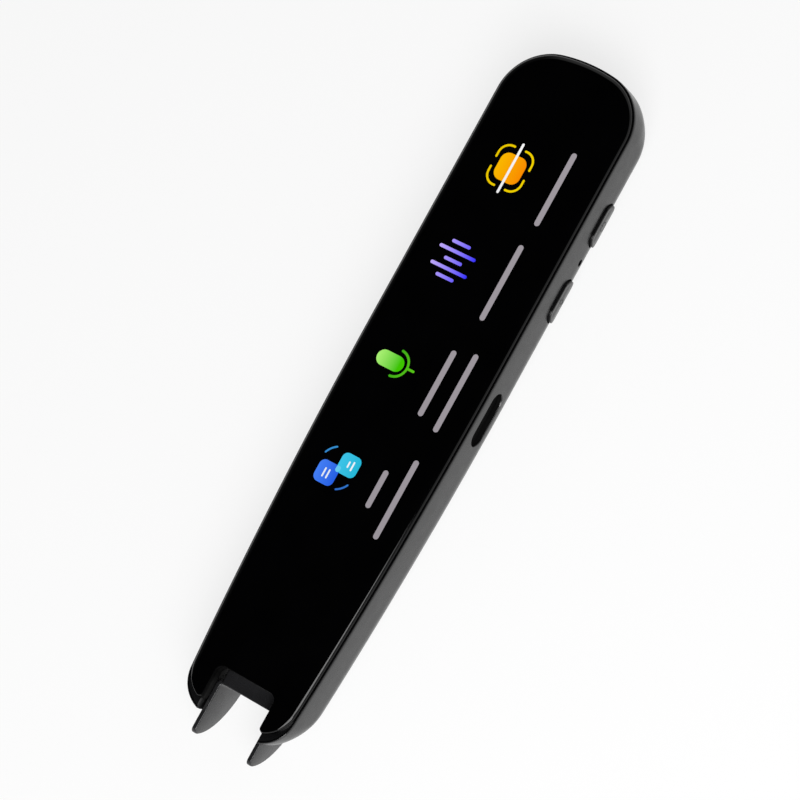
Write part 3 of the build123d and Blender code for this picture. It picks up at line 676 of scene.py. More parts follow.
@dataclass(frozen=True)
class CaseForm:
    """The moulded form that the shell, glass and buttons take their curves from."""

    half: float = 15.0
    crown: float = 73.7
    tip: float = -70.2
    taper_start: float = 11.7
    taper_radius: float = 1089.0
    crown_radius: float = 34.0
    top_corner: float = 11.0
    tip_corner: float = 7.3
    depth: float = 13.3
    side_roll: float = 6.3
    top_roll: float = 10.0
    tip_sweep: float = 17.0
    tip_rise: float = 12.0
    steps: tuple[int, ...] = (22, 26, 62, 90, 22, 10)

    def rings(self, side: np.ndarray, top: np.ndarray, tip: np.ndarray,
              fuller: float | np.ndarray = 0.0) -> np.ndarray:
        """Plans of the case drawn in by insets at the sides, the crown and the tip.

        The right half runs crown arc, corner arc, straight side, taper arc, tip corner arc, tip
        line; each arc touches its neighbours, so corner centres lie a radius inside both. The
        left half is its mirror image.

        Args:
            side: inset of the side walls, one for each level.
            top: inset of the crown.
            tip: inset of the tip.
            fuller: how much smaller the crown corners' radius is.
        Returns:
            (levels, points, 2) array, clockwise from the crown's middle.
        """
        side, top, tip = (np.asarray(value, float)[:, None] for value in (side, top, tip))
        half, crown, end = self.half - side, self.crown - top, self.tip + tip
        big = self.top_corner - side - np.reshape(fuller, (-1, 1))
        small = self.tip_corner - side
        bow, inner = crown - self.crown_radius, half - big
        corner_y = bow + np.sqrt((self.crown_radius - big) ** 2 - inner**2)
        lean = np.arctan2(corner_y - bow, inner)
        start, far = self.taper_start, half - self.taper_radius
        fall = start - end - small
        foot_x = far + np.sqrt((self.taper_radius - small) ** 2 - fall**2)
        foot_y = end + small
        slant = np.arctan2(-fall, foot_x - far)
        runs = ((np.pi / 2, lean), (lean, 0.0), (corner_y, start), (0.0, slant),
                (slant, -np.pi / 2), (foot_x, 0.0))
        upper, bend, straight, narrow, foot, line = (
            partway(*run, count) for run, count in zip(runs, self.steps))
        x = np.concatenate([
            self.crown_radius * np.cos(upper), inner + big * np.cos(bend), half + 0 * straight,
            far + self.taper_radius * np.cos(narrow), foot_x + small * np.cos(foot), line,
            0 * side], 1)
        y = np.concatenate([
            bow + self.crown_radius * np.sin(upper), corner_y + big * np.sin(bend), straight,
            start + self.taper_radius * np.sin(narrow), foot_y + small * np.sin(foot),
            end + 0 * line, end], 1)
        right = np.stack([x, y], -1)
        return np.concatenate([right, right[:, -2:0:-1] * (-1, 1)], 1)

    @staticmethod
    def roll(reach: float, rise: float, height: np.ndarray) -> np.ndarray:
        """How far a quarter-elliptical roll stands in at a height above its floor."""
        left = (rise - np.minimum(height, rise)) / rise
        return reach * (1 - np.sqrt(np.clip(1 - left**2, 0, 1)))

    def side_x(self, z: np.ndarray, proud: float) -> np.ndarray:
        """Outer x of the side wall at height z, for the form grown by proud."""
        roll = self.side_roll + proud
        return self.half + proud - self.roll(roll, roll, np.asarray(z, float) + proud)


# ---------------------------------------------------------------- rear shell


@dataclass(frozen=True)
class RearShell:
    """Moulded rear shell with its grille, slots, sockets and the notch for the hood."""

    form: CaseForm
    wall: float = 1.5
    rim_round: float = 0.18
    lean: float = 0.08
    lean_start: float = 9.0
    corner_fill: float = 1.4
    dip: float = 0.5
    dip_start: float = -66.0
    seam: Triple = (0.30, 0.44, 0.56)
    seam_depth: float = 0.45
    cross_wall: float = -58.2
    inner_roll: float = 4.8
    inner_crown: float = 8.5
    inner_rise: float = 9.0
    grille_x: float = -1.2
    grille_width: float = 12.6
    grille_low: float = 42.3
    grille_high: float = 59.0
    grille_ramp: float = 2.2
    fins: int = 5
    fin_pitch: float = 2.36
    fin_width: float = 0.55
    fin_shift: float = -0.55
    groove_width: float = 1.0
    groove_depth: float = 0.9
    groove_up: float = 3.1
    groove_down: float = 4.2
    groove_top: Pair = (1.1, 1.01)
    groove_floor: Pair = (0.8, 0.98)
    lip: float = 0.12
    notch_half: float = 7.3
    notch_top: float = -59.7
    notch_corner: float = 1.3
    notch_reach: float = 20.0
    neck: Box = ((-6.3, -60.5, 2.65), (6.3, -57.0, 11.6))
    key_size: Triple = (9.45, 4.8, 2.4)
    key_y: Pair = (47.4, 30.85)
    key_z: float = 5.44
    ear_size: Triple = (1.4, 1.4, 0.7)
    ear_z: float = 5.8
    scoop: Opening = Opening((11.2, 4.3, 2.15), (3.95, 8.75), (-0.9, -0.82, -0.6, -0.2, 0.0, 1.0),
                             (-0.55, -0.3, -0.1, 0, 0.12, 0.5), steps=12)
    slit: Opening = Opening((12.3, 0.8, 0.2), (3.95, 9.4), (-4.0, -0.3), (0, 0), steps=3)
    port: Opening = Opening((9.34, 3.56, 1.78), (3.0, 6.5), (66.0, 71.9, 72.6, 76.0),
                            (0, 0, 0.22, 0.9), Axis.Y, 10)
    jack: Opening = Opening((3.6, 3.6, 1.8), (-4.9, 6.5), (66.0, 71.6, 72.7, 76.0),
                            (0, 0, 0.7, 2.6), Axis.Y, 12)
    # Boxes for painted shade on the hood notch's walls and in the side scoop and slit, each with
    # the most that a face's normal may point up.
    dark: tuple[tuple[Box, float], ...] = (
        (((-7.4, -73.0, 9.0), (7.4, -59.6, 14.0)), 0.5),
        (((12.0, -2.0, 6.3), (14.85, 9.9, 11.2)), 2.0))

    def build(self) -> Piece:
        """Stack the wall, cut the openings one after the other and shade the result.

        Returns:
            The finished shell.
        """
        shell, face = make("shell_skin", [self.body()]), self.form.half
        for tools in ([self.notch()], [block(self.neck)], self.side_holes(),
                      [self.scoop.tool(face)], [self.slit.tool(face)], self.stripes(),
                      self.grooves(), [self.port.tool()], [self.jack.tool()]):
            carve(shell, tools)
        shade(shell, 30)
        return shell

    def notch(self) -> Patch:
        """The notch for the hood, open at the tip.

        Returns:
            Its tool solid.
        """
        size = (2 * self.notch_half, self.notch_reach, self.notch_corner)
        centre = (0.0, self.notch_top - self.notch_reach / 2)
        return Opening(size, centre, (-1.0, 14.0), (0, 0), Axis.Z).tool()

    def side_holes(self) -> list[Patch]:
        """Openings for the keys and, midway between them, the microphone, eased at the face.

        Returns:
            A tool solid for each opening.
        """
        keys = [Opening(self.key_size, (y, self.key_z), (-4.0, -0.2, 0.0, 1.0),
                        (0, 0, 0.08, 0.5), steps=14) for y in self.key_y]
        ear = Opening(self.ear_size, (sum(self.key_y) / 2, self.ear_z),
                      (-4.0, -0.15, 0.05, 1.0), (0, 0, 0.05, 0.3))
        return [opening.tool(self.form.half) for opening in (*keys, ear)]

    def body(self) -> Patch:
        """The wall as one stack of rings: back, outside, rounded rim with a seam, inside, floor.

        The wall leans in towards the rim as a square law, its crown corners are fuller below
        the rim, and at the tip the rim dips as the square of the way to the tip's end.

        Returns:
            The closed wall.
        """
        form, depth = self.form, self.form.depth
        rise = np.concatenate([form.side_roll * (1 - np.cos(swept(19))),
                               np.linspace(form.side_roll, depth - self.rim_round, 12)[1:]])
        share = (rise - self.lean_start) / (depth - self.lean_start)
        lean = self.lean * np.clip(share, 0, 1) ** 2
        outside = raised(form.rings(lean + form.roll(form.side_roll, form.side_roll, rise),
                                    lean + form.roll(form.top_roll, form.top_roll, rise),
                                    lean + form.roll(form.tip_sweep, form.tip_rise, rise),
                                    self.corner_fill * np.clip(1 - share, 0, 1)), rise)
        edge = swept(3, 90, 30)
        first, middle, last = self.seam
        inset = np.concatenate([self.lean + self.rim_round * (1 - np.cos(edge)),
                                [first, middle, last, self.wall]])
        height = np.concatenate([depth - self.rim_round * (1 - np.sin(edge)),
                                 [depth, depth - self.seam_depth, depth, depth]])
        rim = raised(form.rings(inset, inset, inset), height)
        down = np.append(self.inner_roll * (1 - np.cos(swept(8))), self.inner_rise)[::-1]
        inside = raised(form.rings(
            self.wall + form.roll(self.inner_roll, self.inner_roll, down),
            self.wall + form.roll(self.inner_crown, self.inner_crown, down),
            np.full_like(down, self.cross_wall - form.tip)), self.wall + down)
        rings = np.concatenate([outside, rim, inside])
        reach = np.clip((self.dip_start - rings[..., 1]) / (self.dip_start - form.tip), 0, 1)
        share = np.clip((rings[..., 2] - self.lean_start) / (depth - self.lean_start), 0, 1)
        rings[..., 2] -= self.dip * reach**2 * share
        return stack(rings)

    def fin_lines(self) -> np.ndarray:
        """Middle x of each fin, evenly pitched about the shifted middle of the pocket."""
        place = np.arange(self.fins) - (self.fins - 1) / 2
        return self.grille_x + self.fin_shift + self.fin_pitch * place

    def stripes(self) -> list[Patch]:
        """Open stripes between the fins; each has a ramp at its lower end and an eased lip.

        Returns:
            A tool solid for each stripe.
        """
        fins, half = self.fin_lines(), self.grille_width / 2
        left = np.concatenate([[self.grille_x - half], fins + self.fin_width / 2])
        right = np.concatenate([fins - self.fin_width / 2, [self.grille_x + half]])
        z = np.array([-1.0, 0.0, self.lip, self.wall, self.wall + 0.5])
        grow = np.array([self.lip, self.lip, 0.0, 0.0, 0.0])
        low = self.grille_low + self.grille_ramp * np.maximum(z, 0) / self.wall - grow
        high = self.grille_high + grow
        y = np.stack([low, high, high, low], -1)
        found = []
        for one, other in zip(left, right):
            x = np.stack([one - grow, one - grow, other + grow, other + grow], -1)
            found.append(stack(raised(np.stack([x, y], -1), z)))
        return found

    def grooves(self) -> list[Patch]:
        """Pointed grooves along the fins, which run out past both ends of the pocket.

        Returns:
            A tool solid for each groove.
        """
        low, high = self.grille_low, self.grille_high
        y = np.array([low, high, high + self.groove_up, high, low, low - self.groove_down])
        scale = np.array([self.groove_top, self.groove_top, self.groove_floor])
        found = []
        for fin in self.fin_lines():
            near = fin + self.fin_width / 2
            middle, far = near + self.groove_width / 2, near + self.groove_width
            flat = np.stack([np.array([near, near, middle, far, far, middle]), y], -1)
            hub = np.array([middle, (low + high) / 2])
            rings = hub + (flat - hub)[None] * scale[:, None]
            found.append(stack(raised(rings, (-0.5, 0.0, self.groove_depth))))
        return found


# ---------------------------------------------------------------- front glass and its picture


@dataclass(frozen=True)
class FrontGlass:
    """Front glass with a curved edge all round and the notch over the scan hood."""

    form: CaseForm
    side: float = 0.5
    top: float = 0.55
    tip: float = 2.0
    notch_half: float = 6.8
    notch_top: float = -60.5
    notch_corner: float = 1.4
    lobe: float = 0.9
    under: float = 13.3
    face: float = 14.38
    wall: float = 0.3
    curve: float = 2.3
    lobe_curve: float = 0.4
    lobe_start: float = -63.0
    notch_curve: float = 0.2
    blend: int = 5
    power: float = 2.6
    # Box for painted shade on the glass's notch edges and lobes, with the most that a face's normal
    # may point up.
    dark: tuple[Box, float] = (((-7.1, -68.5, 13.0), (7.1, -60.4, 14.4)), 0.9)

    def outline(self) -> np.ndarray:
        """The glass's plan: the case's right half up to the lobe, then the notch, mirrored.

        The lobe's arc touches the tip corner's arc from inside and the notch's side, so its
        centre is a lobe radius from each.

        Returns:
            (points, 2) array, clockwise from the crown's middle.
        """
        form = self.form
        half, end = form.half - self.side, form.tip + self.tip
        small, far = form.tip_corner - self.side, half - form.taper_radius
        fall = form.taper_start - end - small
        foot = np.array([far + math.sqrt((form.taper_radius - small) ** 2 - fall**2), end + small])
        hub_x = self.notch_half + self.lobe
        drop = math.sqrt((small - self.lobe) ** 2 - (hub_x - foot[0]) ** 2)
        hub = np.array([hub_x, foot[1] - drop])
        meet = math.atan2(hub[1] - foot[1], hub[0] - foot[0])
        upper = form.rings([self.side], [self.top], [self.tip])[0][:sum(form.steps[:4])]
        leave = math.atan2(upper[-1, 1] - foot[1], upper[-1, 0] - foot[0])
        corner = foot + small * circle(np.linspace(leave, meet, 18)[1:])
        lobe = hub + self.lobe * circle(np.linspace(meet, -math.pi, 14)[1:])
        rise = np.linspace(hub[1], self.notch_top - self.notch_corner, 12)[1:]
        wall = np.stack([np.full_like(rise, self.notch_half), rise], -1)
        hook = (np.array([self.notch_half, self.notch_top]) - self.notch_corner
                + self.notch_corner * circle(swept(10)[1:]))
        run = np.linspace(self.notch_half - self.notch_corner, 0, 9)[1:]
        flat = np.stack([run, np.full_like(run, self.notch_top)], -1)
        right = np.concatenate([upper, corner, lobe, wall, hook, flat])
        return np.concatenate([right, right[-2:0:-1] * (-1, 1)])

    def reach(self, line: np.ndarray) -> np.ndarray:
        """How far in the edge's curve runs at each point: less on the lobes and at the notch.

        Args:
            line: the glass's plan.
        Returns:
            The reaches, evened out over the points nearby.
        """
        lobes = line[:, 1] < self.lobe_start
        notch = (np.abs(line[:, 0]) < self.notch_half + 0.5) & (line[:, 1] < 0)
        reach = np.where(notch, self.notch_curve, np.where(lobes, self.lobe_curve, self.curve))
        padded = np.concatenate([reach[-self.blend:], reach, reach[:self.blend]])
        count = 2 * self.blend + 1
        return np.convolve(padded, np.ones(count) / count, "valid")

    def build(self) -> Piece:
        """Carry the edge's curve inwards from the outline.

        Height over the curve's run u is a power arc: one minus (1 - u) to the power, square
        rooted, so the edge starts upright and ends level. A normal is square to the chord
        between a point's neighbours.

        Returns:
            The finished glass.
        """
        line = self.outline()
        normal = unit(across(np.roll(line, -1, 0) - np.roll(line, 1, 0)))
        run = 1 - np.cos(swept(17))
        rise = np.sqrt(1 - (1 - run) ** self.power)
        height = self.under + self.wall + (self.face - self.under - self.wall) * rise
        flat = line[None] - normal[None] * (run[:, None] * self.reach(line)[None])[..., None]
        rings = np.concatenate([raised(line[None], [self.under]), raised(flat, height)])
        glass = make("glass_curved", [stack(rings)])
        shade(glass, 40)
        return glass


Layer = tuple[str, list[Patch], Glow]


@dataclass(frozen=True)
class ScreenArt:
    """The menu that the display shows: four pictographs, each with rows of plain bars."""

    level: float = 14.386
    layer: float = 0.005
    bar_width: float = 1.15
    bars: tuple[Triple, ...] = (
        (6.9, 40.6, 56.4), (6.4, 19.9, 36.2), (4.75, -1.5, 12.6), (9.1, -2.9, 13.8),
        (4.4, -21.4, -13.4), (8.9, -25.9, -9.1))
    wave: tuple[Triple, ...] = (
        (31.4, -6.6, -3.05), (29.63, -8.5, -0.9), (27.8, -6.4, -3.0), (26.0, -8.5, -0.85),
        (24.3, -6.3, -2.9))
    card_marks: tuple[Triple, ...] = (
        (-7.0, -19.2, 0.8), (-6.1, -19.2, 0.8), (-3.2, -15.8, 0.5), (-2.3, -15.8, 0.8))

    def lifted(self, flat: np.ndarray, order: int) -> np.ndarray:
        """Put flat points on one of the picture's layers."""
        return np.concatenate([flat, np.full((len(flat), 1), self.level + order * self.layer)], -1)

    def plate(self, size: Triple, centre: Pair, order: int = 0) -> list[Patch]:
        """A flat rounded plate of the picture, of this width, height and corner radius."""
        flat = self.lifted(rounded(*size)[0] + centre, order)
        return [Patch(flat, np.zeros((0, 4), int), [np.arange(len(flat))])]

    def stroke(self, path: np.ndarray, width: float, order: int = 0) -> Patch:
        """A round-ended stroke: half-width falls as the cosine over one radius past each end.

        Args:
            path: the stroke's middle line.
            width: its full width.
            order: the layer that it lies on.
        Returns:
            The stroke as an open sheet.
        """
        radius = width / 2
        swing = swept(6, 88)[1:]
        head = (path[0] + radius * np.sin(swing)[:, None] * unit(path[0] - path[1]))[::-1]
        tail = path[-1] + radius * np.sin(swing)[:, None] * unit(path[-1] - path[-2])
        line = np.concatenate([head, path, tail])
        half = radius * np.concatenate([np.cos(swing)[::-1], np.ones(len(path)), np.cos(swing)])
        aside = across(unit(np.gradient(line, axis=0))) * half[:, None]
        return sheet_of(np.stack([self.lifted(line + aside, order),
                                  self.lifted(line - aside, order)]))

    def bar(self, start: Pair, stop: Pair, width: float, order: int = 0, count: int = 2) -> Patch:
        """A straight stroke between two points."""
        return self.stroke(np.linspace(start, stop, count), width, order)

    def arc(self, centre: Pair, radius: float, turn: np.ndarray, width: float) -> Patch:
        """A stroke along an arc."""
        return self.stroke(centre + radius * circle(turn), width)

    @staticmethod
    def glow(name: str, near: Triple, far: Triple, start: float, stop: float,
             axis: str = "X") -> Glow:
        """A lit colour that runs from near to far between two places on an axis."""
        return Glow(f"glow_{name}", near, far=far, start=start, stop=stop, axis=axis)

    def frame_icon(self) -> list[Layer]:
        """Orange tile with a white scan line, inside four yellow corner brackets.

        Returns:
            The icon's layers.
        """
        middle = np.array([-3.6, 48.6])
        bend = (1.6, 2.0) + 2.2 * circle(swept(14))
        bracket = np.concatenate([[[3.8, 1.1]], bend, [[1.25, 4.2]]])
        corners_of = [self.stroke(middle + bracket * flip, 0.44)
                      for flip in ((1, 1), (-1, 1), (-1, -1), (1, -1))]
        return [("art_brackets", corners_of,
                 self.glow("yellow", (0.84, 0.58, 0.0), (0.92, 0.66, 0.0), -8, 1)),
                ("art_tile", self.plate((5.7, 5.7, 1.7), (-3.55, 48.55)),
                 self.glow("orange", (1.0, 0.50, 0.0), (1.0, 0.27, 0.0), -6.4, -0.7)),
                ("art_beam", [self.bar((-3.5, 43.5), (-3.5, 53.8), 0.52, 1)],
                 self.glow("white", (0.9, 0.9, 0.9), (1, 1, 1), 43, 54, "Y"))]

    def wave_icon(self) -> list[Layer]:
        """Five bars of a sound wave, short and long in turn."""
        return [("art_wave", [self.bar((left, y), (right, y), 0.7) for y, left, right in self.wave],
                 self.glow("violet", (0.55, 0.42, 1.0), (0.02, 0.02, 1.0), -9, -0.3))]

    def voice_icon(self) -> list[Layer]:
        """Green microphone: capsule, cradle arc and stem.

        Returns:
            The icon's layers.
        """
        cradle = [self.arc((-4.9, 5.45), 2.67, swept(26, 86, -86), 0.5),
                  self.bar((-2.2, 5.45), (-0.75, 5.45), 0.5)]
        return [("art_capsule", self.plate((6.1, 3.2, 1.6), (-6.1, 5.4)),
                 self.glow("lime", (0.42, 0.92, 0.18), (0.05, 0.58, 0.0), -9.0, -4.0)),
                ("art_cradle", cradle,
                 self.glow("green", (0.05, 0.42, 0.01), (0.10, 0.58, 0.01), -5, -1))]

    def cards_icon(self) -> list[Layer]:
        """Two overlapping cards, blue and cyan, each with plain marks, between two arcs.

        Returns:
            The icon's layers.
        """
        marks = [self.bar((x, y - reach), (x, y + reach), 0.36, 1)
                 for x, y, reach in self.card_marks]
        arcs = [self.arc((-4.95, -17.35), 4.15, swept(14, start + 35, start), 0.36)
                for start in (121, -64)]
        return [("art_card_blue", self.plate((4.5, 4.5, 1.25), (-6.5, -19.1)),
                 self.glow("blue", (0.06, 0.22, 0.95), (0.02, 0.12, 0.80), -8.7, -4.3)),
                ("art_card_cyan", self.plate((4.3, 4.3, 1.2), (-3.05, -15.9)),
                 self.glow("cyan", (0.05, 0.58, 0.85), (0.02, 0.50, 0.72), -5.2, -1)),
                ("art_card_lens", self.plate((1.0, 1.25, 0.45), (-4.72, -17.45), 1),
                 self.glow("lens", (0.16, 0.60, 0.92), (0.12, 0.62, 0.90), -5.3, -4.2)),
                ("art_card_marks", marks,
                 self.glow("pale", (0.80, 0.85, 0.9), (0.9, 0.95, 1), -8, -2)),
                ("art_card_arcs", arcs,
                 self.glow("arc", (0.03, 0.14, 0.60), (0.04, 0.30, 0.65), -22, -13, "Y"))]

    def labels(self) -> list[Layer]:
        """Rows of plain bars where the menu's words would stand.

        Returns:
            The layer that holds them.
        """
        inset = self.bar_width / 2 + 0.025
        rows = [self.bar((x, low + inset), (x, high - inset), self.bar_width, count=3)
                for x, low, high in self.bars]
        return [("art_labels", rows,
                 self.glow("label", (0.34, 0.31, 0.34), (0.36, 0.33, 0.36), -26, 56, "Y"))]

    def build(self) -> list[Piece]:
        """Make every layer of the picture.

        Returns:
            The picture's objects.
        """
        made = []
        for name, patches, finish in (self.frame_icon() + self.wave_icon() + self.voice_icon()
                                      + self.cards_icon() + self.labels()):
            piece = make(name, patches, closed=False)
            piece.data.materials.append(finish.build())
            made.append(piece)
        return made


# ---------------------------------------------------------------- scan hood


@dataclass(frozen=True)
class ScanHood:
    """Fork at the tip: two leaf-shaped legs joined by a web, on a square neck."""

    half: float = 7.1
    skin: float = 0.95
    web_top: float = -62.65
    corner: float = 1.6
    front: float = 10.8
    rear: float = 0.1
    tip: float = -74.41
    tip_gap: float = 0.08
    sweep: float = 13.2
    tip_round: float = 1.2
    edge: float = 0.2
    neck_half: float = 6.15
    neck_low: float = 2.8
    neck_high: float = 11.4
    neck_end: float = -56.5
    neck_corner: float = 0.8
    neck_wall: float = 1.0
    neck_lap: float = 0.2
    view_size: Triple = (8.8, 5.4, 0.4)
    leg_steps: int = 60
    web_steps: int = 14

    def path(self) -> tuple[np.ndarray, np.ndarray]:
        """Middle line of the fork's wall in plan, from one leg's tip round the web to the other's.

        Returns:
            Points and unit normals, both (stations, 2).
        """
        legs, webs = self.leg_steps, self.web_steps
        line_x, top = self.half - self.skin / 2, self.web_top - self.skin / 2
        bend = self.corner - self.skin / 2
        start, stop = self.tip + self.tip_gap, top - bend
        down = stop + (start - stop) * np.sin(swept(legs))
        turn = circle(swept(webs)[1:-1])
        web = np.linspace(line_x - bend, 0, webs)
        right = np.concatenate([np.stack([np.full(legs, line_x), down[::-1]], -1),
                                np.array([line_x - bend, top - bend]) + bend * turn,
                                np.stack([web, np.full(webs, top)], -1)])
        normal = np.concatenate([np.tile([1.0, 0.0], (legs, 1)), turn,
                                 np.tile([0.0, 1.0], (webs, 1))])
        return tuple(np.concatenate([part, part[-2::-1] * (-1, 1)]) for part in (right, normal))

    def heights(self, y: np.ndarray) -> tuple[np.ndarray, np.ndarray]:
        """Rear and front height of the wall: a quarter ellipse behind, a rounded corner in front.

        Args:
            y: places along the pen.
        Returns:
            The rear and the front height at each place.
        """
        u = np.clip((self.tip + self.sweep - y) / self.sweep, 0, 1)
        rear = self.front - (self.front - self.rear) * np.sqrt(1 - u**2)
        hub = self.tip + self.tip_gap + self.tip_round
        v = np.clip((hub - y) / self.tip_round, 0, 1)
        front = self.front - self.tip_round * (1 - np.sqrt(1 - v**2))
        return np.minimum(rear, front - 0.002), front

    def fork(self) -> Patch:
        """A rounded section carried along the fork's middle line.

        Returns:
            The closed fork.
        """
        line, normal = self.path()
        rear, front = self.heights(line[:, 1])
        tall = front - rear
        radius = np.minimum(self.edge, tall * 0.49)[:, None]
        thick = np.minimum(self.skin / 2, 0.12 + tall * 0.5)[:, None]
        turn, sign = corners(4)
        out = sign[:, 0] * (thick - radius) + radius * turn[:, 0]
        up = sign[:, 1] * (tall[:, None] / 2 - radius) + radius * turn[:, 1]
        flat = line[:, None] + normal[:, None] * out[..., None]
        z = ((rear + front) / 2)[:, None] + up
        return stack(np.concatenate([flat, z[..., None]], -1))

    def build(self) -> Piece:
        """Join the fork and its neck, and open the tunnel that the camera looks down.

        Returns:
            The finished hood.
        """
        hood = make("hood_fork", [self.fork()])
        half, low, high, wall = self.neck_half, self.neck_low, self.neck_high, self.neck_wall
        front, middle = self.web_top - self.skin, (0.0, (low + high) / 2)
        neck = Opening((2 * half, high - low, self.neck_corner), middle,
                       (front + self.neck_lap, self.neck_end), (0, 0), Axis.Y, 6)
        tunnel = ((wall - half, self.web_top, low + wall),
                  (half - wall, self.neck_end + 1.0, high - wall))
        view = Opening(self.view_size, middle, (-1.0, 0.0, 0.25, self.skin + 1.0),
                       (0.25, 0.25, 0, 0), Axis.Y, 4)
        carve(hood, [neck.tool()], Cut.JOIN)
        carve(hood, [block(tunnel)])
        carve(hood, [view.tool(front)])
        shade(hood, 35)
        return hood


@dataclass(frozen=True)
class HoodSprings:
    """The two coil springs behind the hood's ears, which shorten as the hood is pushed in."""

    side: float = 7.3
    height: float = 5.3
    front: float = -56.5
    back: float = -53.2
    coil: float = 1.0
    wire: float = 0.32
    turns: int = 4
    gap: float = 0.02
    travel: float = 1.2

    def spring(self, x: float) -> Patch:
        """A wire round a helix.

        Each of its rings has one axis along the coil's radius and one square to that and to
        the wire.

        Args:
            x: where the spring's axis is.
        Returns:
            The wire with its two cut ends.
        """
        turn = np.linspace(0, 2 * math.pi * self.turns, 24 * self.turns + 1)
        seat = self.wire / 2 + self.gap
        rise = (self.back - self.front - 2 * seat) / turn[-1]
        radial = np.stack([np.cos(turn), np.zeros_like(turn), np.sin(turn)], -1)
        along = np.stack([-self.coil * np.sin(turn), np.full_like(turn, rise),
                          self.coil * np.cos(turn)], -1)
        other = np.cross(radial, unit(along))
        line = np.array([x, self.front + seat, self.height]) + self.coil * radial
        line[:, 1] += rise * turn
        angle = np.linspace(0, 2 * math.pi, 12, endpoint=False)[:, None]
        ring = np.cos(angle) * radial[:, None] + np.sin(angle) * other[:, None]
        return stack(line[:, None] + self.wire / 2 * ring)

    def build(self) -> Piece:
        """Make both springs, smooth along the wire.

        Returns:
            The springs as one object.
        """
        piece = make("hood_coils", [self.spring(-self.side), self.spring(self.side)])
        shade(piece, 32)
        return piece

    def follow(self, piece: Piece) -> None:
        """Give the springs a mesh of their own.

        Args:
            piece: the springs.
        """
        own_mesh(piece)


# ---------------------------------------------------------------- side buttons


class Mark(Enum):
    """Pictograph on a side button."""

    POWER = "ring with a stroke"
    VOICE = "microphone"


@dataclass(frozen=True)
class SideButton:
    """Stadium-shaped key that follows the side wall's roll and stands a little proud."""

    form: CaseForm
    name: str
    y: float
    mark: Mark
    length: float = 9.0
    width: float = 4.3
    z: float = 5.4
    proud: float = 0.5
    edge: float = 0.14
    dish: float = 0.06
    ridge: Pair = (0.4, 0.8)
    floor: tuple[float, ...] = (1.1, 1.4, 1.7, 2.0)
    inner: float = 12.7
    pen: float = 0.09

    def build(self) -> Piece:
        """Rings run from the skirt over a rounded edge and a ridge down to the dished middle.

        The ridge falls to the dish by the smooth step three u squared less two u cubed.

        Returns:
            The finished key.
        """
        points, normal = rounded(self.length, self.width, self.width / 2, 14)
        swing, slope = swept(6), np.linspace(0, 1, 7)
        inward = np.concatenate([self.edge * (1 - np.cos(swing)), np.linspace(*self.ridge, 7),
                                 self.floor])
        fall = np.concatenate([self.edge * (1 - np.sin(swing)),
                               self.dish * (3 * slope**2 - 2 * slope**3),
                               np.full(len(self.floor), self.dish)])
        flat = points[None] - normal[None] * inward[:, None, None] + (self.y, self.z)
        x = self.form.side_x(flat[..., 1], self.proud) - fall[:, None]
        face = np.concatenate([x[..., None], flat], -1)
        skirt = face[:1].copy()
        skirt[..., 0] = self.inner
        key = make(f"{self.name}_key", [stack(np.concatenate([skirt, face]))])
        shade(key, 40)
        return key

    def lines(self) -> list[np.ndarray]:
        """Strokes of the pictograph in the key's own (y, z) frame.

        Returns:
            The middle line of each stroke.
        """
        if self.mark is Mark.POWER:
            return [0.95 * circle(swept(28, 420, 120)), np.linspace((0, 0.35), (0, 1.2), 4)]
        return [circle(swept(28, 360)) * (0.42, 0.75) + (0, 0.35),
                0.85 * circle(swept(28, 340, 200)) + (0, 0.2),
                np.linspace((0, -0.65), (0, -1.2), 4)]

    def mark_piece(self) -> Piece:
        """The pictograph as slim half-round strokes that lie on the dished face.

        Returns:
            The strokes as one object.
        """
        turn = np.radians(np.linspace(0, 360, 8, endpoint=False))
        patches = []
        for line in self.lines():
            aside = across(unit(np.gradient(line, axis=0)))
            flat = line[:, None] + aside[:, None] * (self.pen * np.cos(turn))[None, :, None]
            flat = flat + (self.y, self.z)
            x = self.form.side_x(flat[..., 1], self.proud) - self.dish - 0.01
            x = x + 0.04 * np.sin(turn)[None]
            patches.append(stack(np.concatenate([x[..., None], flat], -1)))
        piece = make(f"{self.name}_mark", patches)
        shade(piece, 60)
        return piece


# ---------------------------------------------------------------- parts carried over


